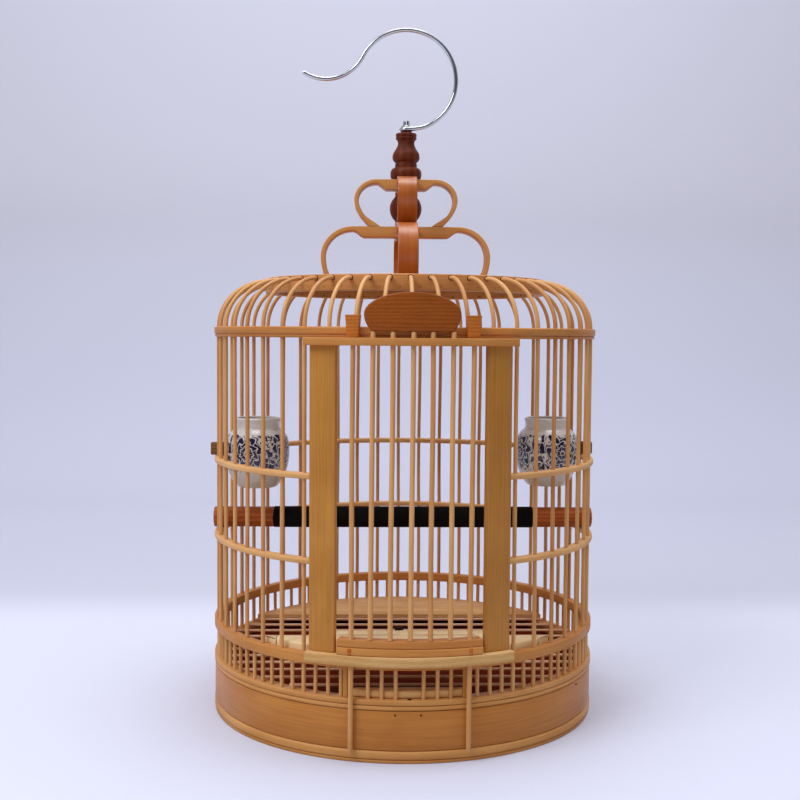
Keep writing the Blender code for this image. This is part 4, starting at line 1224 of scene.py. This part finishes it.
@dataclass
class Floor(SubAssembly):
    """Loose grate of thin rods with its boards, and the threshold behind the sill."""

    rods: int = 11
    rod_r: float = 0.0013
    rod_ease: float = 0.0004
    board_corner: float = 0.0006
    tile_corner: float = 0.0007
    ledge_corner: float = 0.0003
    middle_corner: float = 0.0005
    floor_r: float = 0.16035
    threshold_r: float = 0.1573
    front_y: float = -0.1495
    front_reach: float = 0.048
    rear_y: float = 0.0835
    threshold_y: float = -0.109
    ledge: float = 0.0155
    ledge_half: float = 0.070
    slot_half: float = 0.0015
    slot_reach: tuple[float, float] = (0.0060, 0.0550)
    block_angle: float = math.radians(41.2)
    shade_peg_r: float = 0.0036
    shade_peg_rise: float = 0.0022
    shade_peg_ease: float = 0.0014

    def segment(self, node: str, name: str, chord: float, reach: float) -> None:
        """Cut a board as the part of a disc beyond a chord, no wider than its reach to each side."""
        half = math.acos(abs(chord) / self.floor_r)
        middle = 0.0 if chord < 0 else math.pi
        edge = arc(self.floor_r, np.linspace(middle - half, middle + half, 61))
        edge[:, 0] = np.clip(edge[:, 0], -reach, reach)
        line = edge[-1] + np.linspace(0.0, 1.0, 17)[1:, None] * (edge[0] - edge[-1])
        board = slab(np.vstack([edge, line]), *levels(node), self.board_corner)
        self.add(name, "floor", Slot.PALE, [board], node)

    def build(self) -> None:
        """Lay the rods and the boards."""
        for i, draw in enumerate(np.random.default_rng(3).random(self.rods)):
            name = f"floor_rod_{i + 1:02d}"
            low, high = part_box(name)
            y, z = (low.y + high.y) / 2, (low.z + high.z) / 2
            path, full = eased_path((low.x, y, z), (high.x, y, z), 16, self.rod_ease)
            rod = tube(path, self.rod_r * full, 10, 0.2 + 0.5 * draw)
            self.add(name.replace("floor", "grate"), "grate", Slot.BAMBOO, [rod], name)
        self.segment("grate_front_board", "front_grate_plank", self.front_y, self.front_reach)
        self.segment("rear_floor_board", "rear_floor_plank", self.rear_y, self.floor_r)
        self.threshold()

    def threshold(self) -> None:
        """Lay the threshold: a board with a block at each end, and a ledge behind it.

        The ledge is parted from the board by two narrow slots, and joined to it by a
        short block in the middle. A dark round peg behind that block is painted shade, standing for the dark
        gap there.
        """
        low, high = levels("threshold_board")
        back, rear = AXIS_Y + self.threshold_y, AXIS_Y + self.threshold_y + self.ledge
        inner, outer = self.slot_reach
        board = arc(self.threshold_r, np.linspace(-self.block_angle, self.block_angle, 61))
        line = columns(np.linspace(board[-1, 0], board[0, 0], 17), np.full(17, back))
        tiles = [slab(np.vstack([board, line, board[:1]]), low, high, self.tile_corner, 0.3)]
        half = math.acos(-self.threshold_y / self.threshold_r)
        end = arc(self.threshold_r, np.linspace(self.block_angle + 0.006, half, 12))
        end = np.vstack([end, [[end[0, 0], back]], end[:1]])
        front, split, wing = back + 2 * self.slot_half, back + WELD, self.ledge_half
        shelf = np.array([(inner, front), (outer, front), (outer, split), (wing, split), (wing, rear),
                          (inner, rear), (inner, front)])
        for outline, top, corner, tone in ((end, high - 0.0004, self.tile_corner, 0.15),
                                           (shelf, high, self.ledge_corner, 0.45)):
            tiles += [slab((outline * [side, 1.0])[::side], low, top, corner, tone) for side in (-1, 1)]
        block = np.array([(-inner, back), (inner, back), (inner, rear), (-inner, rear), (-inner, back)])
        tiles.append(slab(block, low, high + 0.0002, self.middle_corner, 0.0))
        self.add("threshold_planks", "threshold", Slot.PALE, tiles, "threshold_board")
        # The dark peg paints the shade of the gap behind the middle block.
        place = (-inner, rear + self.shade_peg_r)
        path, full = eased_path((*place, low), (*place, high + self.shade_peg_rise), 8, self.shade_peg_ease)
        self.add("threshold_shade_peg", "hole", Slot.DARK, [tube(path, self.shade_peg_r * full, 16)])


@dataclass
class StripSizes:
    """Sizes of one tier's bent strip."""

    height: float
    belly: float
    half: float
    foot: float
    toe: float
    flat: float
    block: float
    thick: float
    centre: float
    width: float


@dataclass
class Crown(SubAssembly):
    """Two tiers of crossed bent strips, the ball between them and the finial on top."""

    lower: StripSizes = field(default_factory=lambda: StripSizes(
        0.0463, 0.0197, 0.074, 0.0695, 0.0058, 0.046, 0.036, 0.0041, 0.0095, 0.017))
    upper: StripSizes = field(default_factory=lambda: StripSizes(
        0.0406, 0.0227, 0.045, 0.032, 0.0094, 0.0255, 0.0165, 0.0038, 0.009, 0.0167))
    toe_run: float = 0.0095
    corner: float = 0.0008
    sunk: float = 0.0012
    ball_r: float = 0.014
    ball_neck: float = 0.006
    finial_r: float = 0.0136
    pin_bore: float = 0.0021
    bore_depth: float = 0.0143
    finial_shape: tuple = (
        (0.155, 1.0), (0.34, 1.0), (0.355, 0.978), (0.60, 0.968), (0.665, 0.950), (0.675, 0.915),
        (0.64, 0.898), (0.625, 0.888), (0.665, 0.876), (0.665, 0.850), (0.60, 0.832), (0.545, 0.80),
        (0.53, 0.765), (0.56, 0.71), (0.66, 0.64), (0.77, 0.585), (0.85, 0.535), (0.875, 0.48),
        (0.86, 0.43), (0.79, 0.39), (0.70, 0.365), (0.68, 0.345), (0.705, 0.325), (0.69, 0.305),
        (0.71, 0.285), (0.70, 0.265), (0.75, 0.25), (0.88, 0.225), (0.97, 0.18), (1.0, 0.12),
        (0.985, 0.06), (0.92, 0.012), (0.88, 0.0), (0.0, 0.0))

    def half_strip(self, sizes: StripSizes, low: float, inner_end: float) -> tuple[Array, Array, Array]:
        """Return one half of a strip: the middle line, its thickness and its outward side.

        From the toe the outer face swings out on a parabola to the belly, and then in
        on a quarter ellipse to the flat top. The thickness is even, but grows in an
        S-curve to the block under the crossing. Towards the foot its direction turns
        level, so that the strip ends in a toe with a flat sole.
        """
        high = low + sizes.height
        share = np.linspace(0.0, 1.0, 25)[:-1]
        turn = np.linspace(0.0, QUARTER, 33)
        x = np.concatenate([sizes.half - (sizes.half - sizes.foot) * (1 - share) ** 2,
                            sizes.flat + (sizes.half - sizes.flat) * np.cos(turn),
                            np.linspace(sizes.flat, inner_end, 25)[1:]])
        z = np.concatenate([low + sizes.belly * share,
                            low + sizes.belly + (sizes.height - sizes.belly) * np.sin(turn),
                            np.full(24, high)])
        outer = columns(x, z)
        grown = smooth_step(sizes.flat, sizes.block, x) * (z > high - sizes.thick / 4)
        thick = sizes.thick + (sizes.centre - sizes.thick) * grown
        toe = 1 - smooth_step(0.0, self.toe_run, run_lengths(outer))[:, None]
        depth = normal(outer) * thick[:, None] * (1 - toe) + np.array([sizes.toe, 0.0]) * toe
        thick = np.linalg.norm(depth, axis=1)
        return outer - depth / 2, thick, depth / thick[:, None]

    def strip(self, sizes: StripSizes, low: float, across: bool) -> list[Surface]:
        """Carry an eased box along both halves of a strip.

        Args:
            sizes: The tier's sizes.
            low: Level of its feet.
            across: True for the strip that runs from left to right and ends inside the
                other; the other runs unbroken over the crossing.

        Returns:
            Two surfaces, or one.
        """
        line, thick, outward = self.half_strip(sizes, low, sizes.width / 2 - self.sunk if across else 0.0)
        if not across:
            mirror = np.array([-1.0, 1.0])
            line, outward = (np.vstack([rows, (rows * mirror)[-2::-1]]) for rows in (line, outward))
            thick = np.concatenate([thick, thick[-2::-1]])
        section = eased_box(np.full(len(thick), sizes.width), thick, self.corner)
        wide = section[..., 0]
        halves = []
        for side in (1.0, -1.0) if across else (1.0,):
            middle, out = line * [side, 1.0], outward * [side, 1.0]
            plane = middle[:, None, :] + section[..., 1:] * out[:, None, :]
            x, y = (plane[..., 0], wide) if across else (wide, plane[..., 0])
            grain = paired(run_lengths(middle)[:, None], run_lengths(section[0])[None, :])
            halves.append(Surface(np.stack([x, AXIS_Y + y, plane[..., 1]], axis=-1), grain,
                                  0.45 if across else 0.35, True))
        return halves

    def build(self) -> None:
        """Build both tiers, the ball and the finial."""
        for tier, sizes in (("lower", self.lower), ("upper", self.upper)):
            low = levels(f"{tier}_crown_strip_x")[0]
            # The y strips take the darker finish, which paints shade on their front faces. The x strips take
            # the rim's.
            for way, look in (("x", "rim"), ("y", "strips")):
                self.add(f"{tier}_bent_strip_{way}", look, Slot.BAMBOO, self.strip(sizes, low, way == "x"),
                         f"{tier}_crown_strip_{way}")
        low, high = levels("crown_ball")
        tilt = math.asin(self.ball_neck / self.ball_r)
        turn = np.linspace(tilt, math.pi - tilt, 33)
        side = columns(self.ball_r * np.sin(turn), (low + high) / 2 + self.ball_r * np.cos(turn))
        neck = self.ball_neck
        profile = np.vstack([[0.0, high], [neck, high], side, [neck, low], [0.0, low]])
        self.add("turned_ball", "dark", Slot.DARK, [spun(profile, full_circle(48))], "crown_ball")
        low, high = levels("finial")
        knots = np.array(self.finial_shape) * [self.finial_r, high - low] + [0.0, low]
        depth = high - self.bore_depth
        bore = [[0.0, depth], [self.pin_bore, depth], [self.pin_bore, high]]
        profile = np.vstack([bore, smooth_line(knots[1:-1], 5), knots[-1:]])
        self.add("turned_finial", "dark", Slot.DARK, [spun(profile, full_circle(64))], "finial")


@dataclass
class Hook(SubAssembly):
    """Headed pin, and the wire hook whose eye turns on it."""

    wire_r: float = 0.00185
    eye_r: float = 0.0043
    eye_wrap: float = math.radians(258)
    bend_r: float = 0.0432
    bend_rise: float = 0.0426
    bend_start: float = math.radians(30)
    bend_end: float = math.radians(242.75)
    tip_r: float = 0.0362
    tip_wrap: float = math.radians(95.5)
    pin_r: float = 0.0018
    washer_r: float = 0.0042
    washer_h: float = 0.0008
    prong_r: float = 0.0029
    prong_h: float = 0.0046
    prong_open: float = math.radians(82)
    eye_gap: float = 0.0003
    end_ease: float = 0.0008

    def path(self, eye_z: float) -> Array:
        """Lead the wire round the pin, over the large bend and out to the reversed tip.

        The eye is an arc lying level. A cubic joins its end, along +X, to the large
        bend, an arc about a centre above the eye. The tip is an arc that touches the
        bend's end from outside.
        """
        turn = -QUARTER - self.eye_wrap * (1 - np.linspace(0.0, 1.0, 41))
        eye = columns(self.eye_r * np.cos(turn), self.eye_r * np.sin(turn), np.full(41, eye_z))
        middle = np.array([0.0, 0.0, eye_z + self.bend_rise])
        turn = np.linspace(self.bend_start, self.bend_end, 121)
        bend = middle + self.bend_r * columns(np.sin(turn), 0 * turn, -np.cos(turn))
        start, end = eye[-1], bend[0]
        reach = np.linalg.norm(end - start) / 3
        ahead = start + [reach, 0.0, 0.0]
        behind = end - reach * along_tangent(self.bend_start)[[0, 2, 1]]
        t = np.linspace(0.0, 1.0, 25)[1:-1, None]
        bridge = ((1 - t) ** 3 * start + 3 * (1 - t) ** 2 * t * ahead
                  + 3 * (1 - t) * t ** 2 * behind + t ** 3 * end)
        away = (bend[-1] - middle) / self.bend_r
        centre = middle + away * (self.bend_r + self.tip_r)
        turn = math.atan2(-away[2], -away[0]) - np.linspace(0.0, self.tip_wrap, 49)[1:]
        tip = centre + self.tip_r * columns(np.cos(turn), 0 * turn, np.sin(turn))
        return np.vstack([eye, bridge, bend, tip]) + [0.0, AXIS_Y, 0.0]

    def build(self) -> None:
        """Build the wire and the pin."""
        finial_top = levels("finial")[1]
        path = self.path(finial_top + self.eye_gap + self.wire_r)
        length = run_lengths(path)
        near = np.minimum(length, length[-1] - length) / self.end_ease
        radius = self.wire_r * (0.7 + 0.3 * rounded(near))
        self.add("wire_hook", "steel", Slot.STEEL, [tube(path, radius, 20)], "hook", body=Body.HOOK)
        low, seat = levels("swivel_pin")[0], finial_top + 2 * self.eye_gap + 2 * self.wire_r
        top = seat + self.washer_h
        r, edge = self.washer_r, self.washer_h / 3
        parts = [spun([(0.0, top), (r - edge, top), (r, top - edge), (r, seat + edge), (r - edge, seat),
                       (self.pin_r, seat), (self.pin_r, low), (0.0, low)], full_circle(32))]
        turn = np.linspace(-self.prong_open, self.prong_open, 17)
        for side in (0.0, math.pi):
            prong = arc(self.prong_r, turn + QUARTER + side)
            parts.append(slab(np.vstack([prong, prong[:1]]), top - 0.0002, top + self.prong_h,
                              self.prong_r / 4))
        self.add("split_head_pin", "steel", Slot.STEEL, parts, "swivel_pin")


@dataclass
class Perch(SubAssembly):
    """Turned perch with eased ends, and the rough sleeve round its middle."""

    radius: float = 0.0089
    length: float = 0.335
    ease: float = 0.0012
    sleeve_r: float = 0.0093
    sleeve_length: float = 0.231
    slant: float = 0.0012

    def build(self) -> None:
        """Build the perch's wood and its sleeve."""
        z = sum(levels("perch_sleeve")) / 2
        half, seat, ease = self.length / 2, self.sleeve_length / 2, self.ease
        over = np.sin(np.linspace(0.0, QUARTER, 5)[1:])
        x = np.concatenate([[seat - 0.002], np.linspace(seat, half - ease, 13), half - ease * (1 - over)])
        radius = self.radius - ease * (1 - rounded((half - x) / ease))
        ends = [tube(columns(side * x, np.full(len(x), AXIS_Y), np.full(len(x), z)), radius, 36, 0.5, UP)
                for side in (-1, 1)]
        self.add("perch_wood_ends", "perch", Slot.RED, ends, "perch", body=Body.PERCH)
        x, turn = np.linspace(-seat, seat, 41)[:, None], full_circle(40)[None, :]
        slope = self.slant * np.sin(turn) * (np.abs(x) > seat - 0.0001)
        place = x - np.abs(slope) * np.sign(x)
        points = np.stack([place, AXIS_Y + self.sleeve_r * np.cos(turn) + 0 * place,
                           z + self.sleeve_r * np.sin(turn) + 0 * place], axis=-1)
        sleeve = Surface(points, paired(x, turn * self.sleeve_r), 0.5, True)
        self.add("emery_sleeve", "emery", Slot.EMERY, [sleeve], "perch_sleeve", body=Body.PERCH)


@dataclass
class Cups(SubAssembly):
    """Wide-bellied cups with short necks, and the lugs that hang them on the hoop."""

    radius: float = 0.0279
    wall: float = 0.0024
    rim_rise: float = 0.0009
    circle_r: float = 0.1290
    lug_width: float = 0.010
    lug_sunk: float = 0.0009
    lug_end: float = 0.1694
    lug_corner: float = 0.0009
    shape: tuple = (
        (0.715, 0.995), (0.725, 0.975), (0.715, 0.955), (0.70, 0.93), (0.695, 0.89), (0.71, 0.85),
        (0.80, 0.81), (0.90, 0.755), (0.965, 0.68), (0.995, 0.59), (1.0, 0.50), (0.985, 0.40),
        (0.94, 0.29), (0.865, 0.18), (0.77, 0.09), (0.68, 0.035), (0.64, 0.012), (0.61, 0.0))

    def build(self) -> None:
        """Build both cups with their lugs."""
        for name, place, spin, body in (("left", -11.5, 1.05, Body.CUP_LEFT),
                                        ("right", 12.5, 0.42, Body.CUP_RIGHT)):
            self.cup(name, place * self.pitch, spin, body)
            self.lug(name, place * self.pitch, body)

    def cup(self, name: str, angle: float, spin: float, body: Body) -> None:
        """Turn a cup with a wall of even thickness.

        The outside is a smooth line through the shape's knots. The inside is the same
        line, moved in by the wall along its normal, and the rim between them is round.
        """
        low, high = levels("cup_" + name)
        outer = smooth_line(np.array(self.shape) * [self.radius, high - low] + [0.0, low], 5)
        inner = (outer + normal(outer) * self.wall)[::-1]
        inner = inner[inner[:, 1] > low + self.wall]
        turn = np.linspace(0.0, math.pi, 7)[1:-1]
        reach = np.linalg.norm(outer[0] - inner[-1]) / 2
        rim = (outer[0] + inner[-1]) / 2 + columns(-reach * np.cos(turn), self.rim_rise * np.sin(turn))
        profile = np.vstack([[0.0, low + self.wall], inner, rim, outer, [0.0, low]])
        turns = full_circle(72)
        cup = spun(profile, turns)
        cup.points = cup.points + polar(self.circle_r, angle, 0.0) - [0.0, AXIS_Y, 0.0]
        outside = np.arange(len(profile)) > len(inner) + len(rim)
        cup.grain = paired((turns + spin)[:, None] * self.radius,
                           np.where(outside, profile[:, 1] - low, -1.0)[None, :])
        self.add("painted_cup_" + name, "porcelain", Slot.PORCELAIN, [cup], "cup_" + name, body=body)

    def lug(self, name: str, angle: float, body: Body) -> None:
        """Stand a short block from the cup's belly to past the hoop."""
        low, high = levels("cup_lug_" + name)
        root, end = self.circle_r + self.radius - self.lug_sunk, self.lug_end
        reach = np.array([root, root + 0.0004, end - 0.0006, end])[:, None]
        ease = np.array([1.0, 1.0, 1.0, 0.9])
        section = eased_box(self.lug_width * ease, (high - low) * ease, self.lug_corner)
        points = beside(reach, angle, (low + high) / 2 + section[..., 1], section[..., 0])
        lug = Surface(points, paired(reach, section[..., 0]), 0.5, True)
        self.add("hanging_lug_" + name, "lug", Slot.RED, [lug], "cup_lug_" + name, body=body)


# Studio


def seen_rays(n: Nodes) -> tuple[Socket, Socket]:
    """Return whether the camera sees something, also by way of metal, and whether directly."""
    rays = n.add("LightPath")
    mirrored = n.math("MAXIMUM", rays["Is Glossy Ray"], rays["Is Transmission Ray"])
    return n.math("MAXIMUM", rays["Is Camera Ray"], mirrored), rays["Is Camera Ray"]


@dataclass(frozen=True)
class ClothFinish(Finish):
    """Matt cloth, pale lavender to the camera, that throws back a neutral light, with painted shade on the
    floor behind the cage and on the lower wall.
    """

    ground: tuple = (0.72, 0.76, 0.97, 1.0)
    bounce: tuple = (0.50, 0.46, 0.42, 1.0)
    # Painted shade: a darker band on the floor behind the cage, then a wall painted darker low and lighter
    # high.
    shade: tuple = (0.58, 0.61, 0.79, 1.0)
    shaded_wall_low: tuple = (0.62, 0.65, 0.86, 1.0)
    lit_wall_high: tuple = (0.76, 0.79, 1.0, 1.0)

    def inputs(self, n: Nodes) -> dict:
        """Change the colour with depth from the floor's to a painted shade and the wall's, then with height,
        so the wall is painted darker low and lighter high.
        """
        place = n.add("SeparateXYZ", {0: n.place()})
        wall = n.mix(n.fade(place[2], 0.15, 0.8), self.shaded_wall_low, self.lit_wall_high)
        wall = n.mix(n.fade(place[1], 0.5, 1.2), self.shade, wall)
        cloth = n.mix(n.fade(place[1], 0.26, 0.46), self.ground, wall)
        return {"Base Color": n.mix(seen_rays(n)[0], self.bounce, cloth), "Roughness": 0.9,
                "Specular IOR Level": 0.1}


@dataclass
class Studio:
    """Pale floor that curves up behind, soft lamps and the camera."""

    lens: float = 52.27
    sensor: float = 36.0
    eye: tuple[float, float, float] = (-0.03586, -1.02275, 0.3245)
    pitch: float = math.radians(3.22)
    heading: float = math.radians(1.79)
    roll: float = math.radians(0.41)
    sheet_half: float = 16.0
    sheet_top: float = 9.0
    bend_y: float = 1.2
    bend_r: float = 0.6
    sky_light: tuple = (1.0, 0.98, 0.95, 1.0)
    air: tuple = (0.62, 0.64, 0.80, 1.0)
    ceiling_glow: float = 0.7
    wall_glow: float = 0.5
    front_glow: float = 0.24
    front_dim: float = 0.85
    lamps: tuple = (("key_lamp", (-1.1, -1.0, 1.7), (0.0, 0.0, 0.25), 0.9, 15.0),
                    ("top_lamp", (0.2, 0.3, 2.2), (0.0, 0.1, 0.0), 1.6, 12.0),
                    ("wall_lamp", (0.0, 0.2, 2.6), (0.0, 1.8, 0.6), 1.2, 14.0))

    def build(self) -> None:
        """Set up the floor, the lamps, the sky and the camera."""
        self.floor()
        self.sky()
        for lamp in self.lamps:
            self.lamp(*lamp)
        self.camera()
        bpy.context.scene.view_settings.view_transform = "Standard"

    def floor(self) -> None:
        """Lay a wide sheet that is level below the cage, bends up on a quarter circle and stands."""
        turn = np.linspace(0.0, QUARTER, 25)[1:]
        y = np.concatenate([[-self.sheet_half], np.linspace(-1.5, self.bend_y, 10),
                            self.bend_y + self.bend_r * np.sin(turn), [self.bend_y + self.bend_r]])
        z = np.concatenate([np.zeros(11), self.bend_r * (1 - np.cos(turn)), [self.sheet_top]])
        x = np.linspace(-self.sheet_half, self.sheet_half, 17)
        points = np.stack(np.broadcast_arrays(x[:, None], y[None, :], z[None, :]), axis=-1)
        mesh = bpy.data.meshes.new("studio_sheet")
        mesh.from_pydata(points.reshape(-1, 3).tolist(), [], quads(*points.shape[:2]))
        mesh.shade_smooth()
        sheet = put_in_scene("studio_sheet", mesh)
        mesh.materials.append(ClothFinish("studio_cloth").material())

    def sky(self) -> None:
        """Light the room from a pale ceiling and walls, with a dim side towards the camera.

        The strength follows the direction's height: dim near the level, and bright
        overhead. On the camera's side it is cut down by the share of the direction
        that points there.
        """
        world = bpy.data.worlds.new("studio_sky")
        bpy.context.scene.world = world
        world.use_nodes = True
        n = Nodes(world.node_tree)
        parts = n.add("SeparateXYZ", {0: n.add("TexCoord")["Generated"]})
        ceiling = n.fade(parts[2], 0.45, 0.85)
        front = n.fade(n.times(parts[1], -1.0), 0.0, 0.5)
        walls = n.gain(front, self.front_glow - self.wall_glow, self.wall_glow)
        glow = n.gain(ceiling, self.ceiling_glow, walls)
        seen, direct = seen_rays(n)
        dimmed = n.times(front, n.gain(direct, self.front_dim, -self.front_dim))
        strength = n.add("Mix", {0: seen, 2: glow, 3: n.math("ADD", dimmed, 1.0)})[0]
        n.join(n.tree.nodes["Background"], {"Color": n.mix(seen, self.sky_light, self.air),
                                            "Strength": strength})

    def lamp(self, name: str, place: tuple, target: tuple, size: float, power: float) -> None:
        """Hang a square soft lamp that points at a target."""
        data = bpy.data.lights.new(name, "AREA")
        data.size, data.energy = size, power
        lamp = put_in_scene(name, data)
        lamp.location = place
        lamp.rotation_euler = (Vector(target) - Vector(place)).to_track_quat("-Z", "Y").to_euler()

    def camera(self) -> None:
        """Stand the camera at the photograph's place."""
        view = bpy.data.cameras.new("camera")
        view.lens, view.sensor_width = self.lens, self.sensor
        camera = put_in_scene("camera", view)
        aim = Matrix.Rotation(-self.heading, 4, "Z") @ Matrix.Rotation(QUARTER - self.pitch, 4, "X")
        camera.matrix_world = Matrix.Translation(self.eye) @ aim @ Matrix.Rotation(self.roll, 4, "Z")
        bpy.context.scene.camera = camera


def main() -> None:
    """Build every sub-assembly in order, then the studio."""
    logging.basicConfig(level=logging.INFO, format="%(name)s %(message)s")
    palette = make_palette()
    for kind in (Base, Wall, Slips, TopRing, DoorFrame, SlidingDoor, Floor, Crown, Hook, Perch, Cups):
        part = kind(palette)
        part.build()
        log.info("%s: %d pieces", kind.__name__, len(part.pieces))
    Studio().build()


if __name__ == "__main__":
    main()
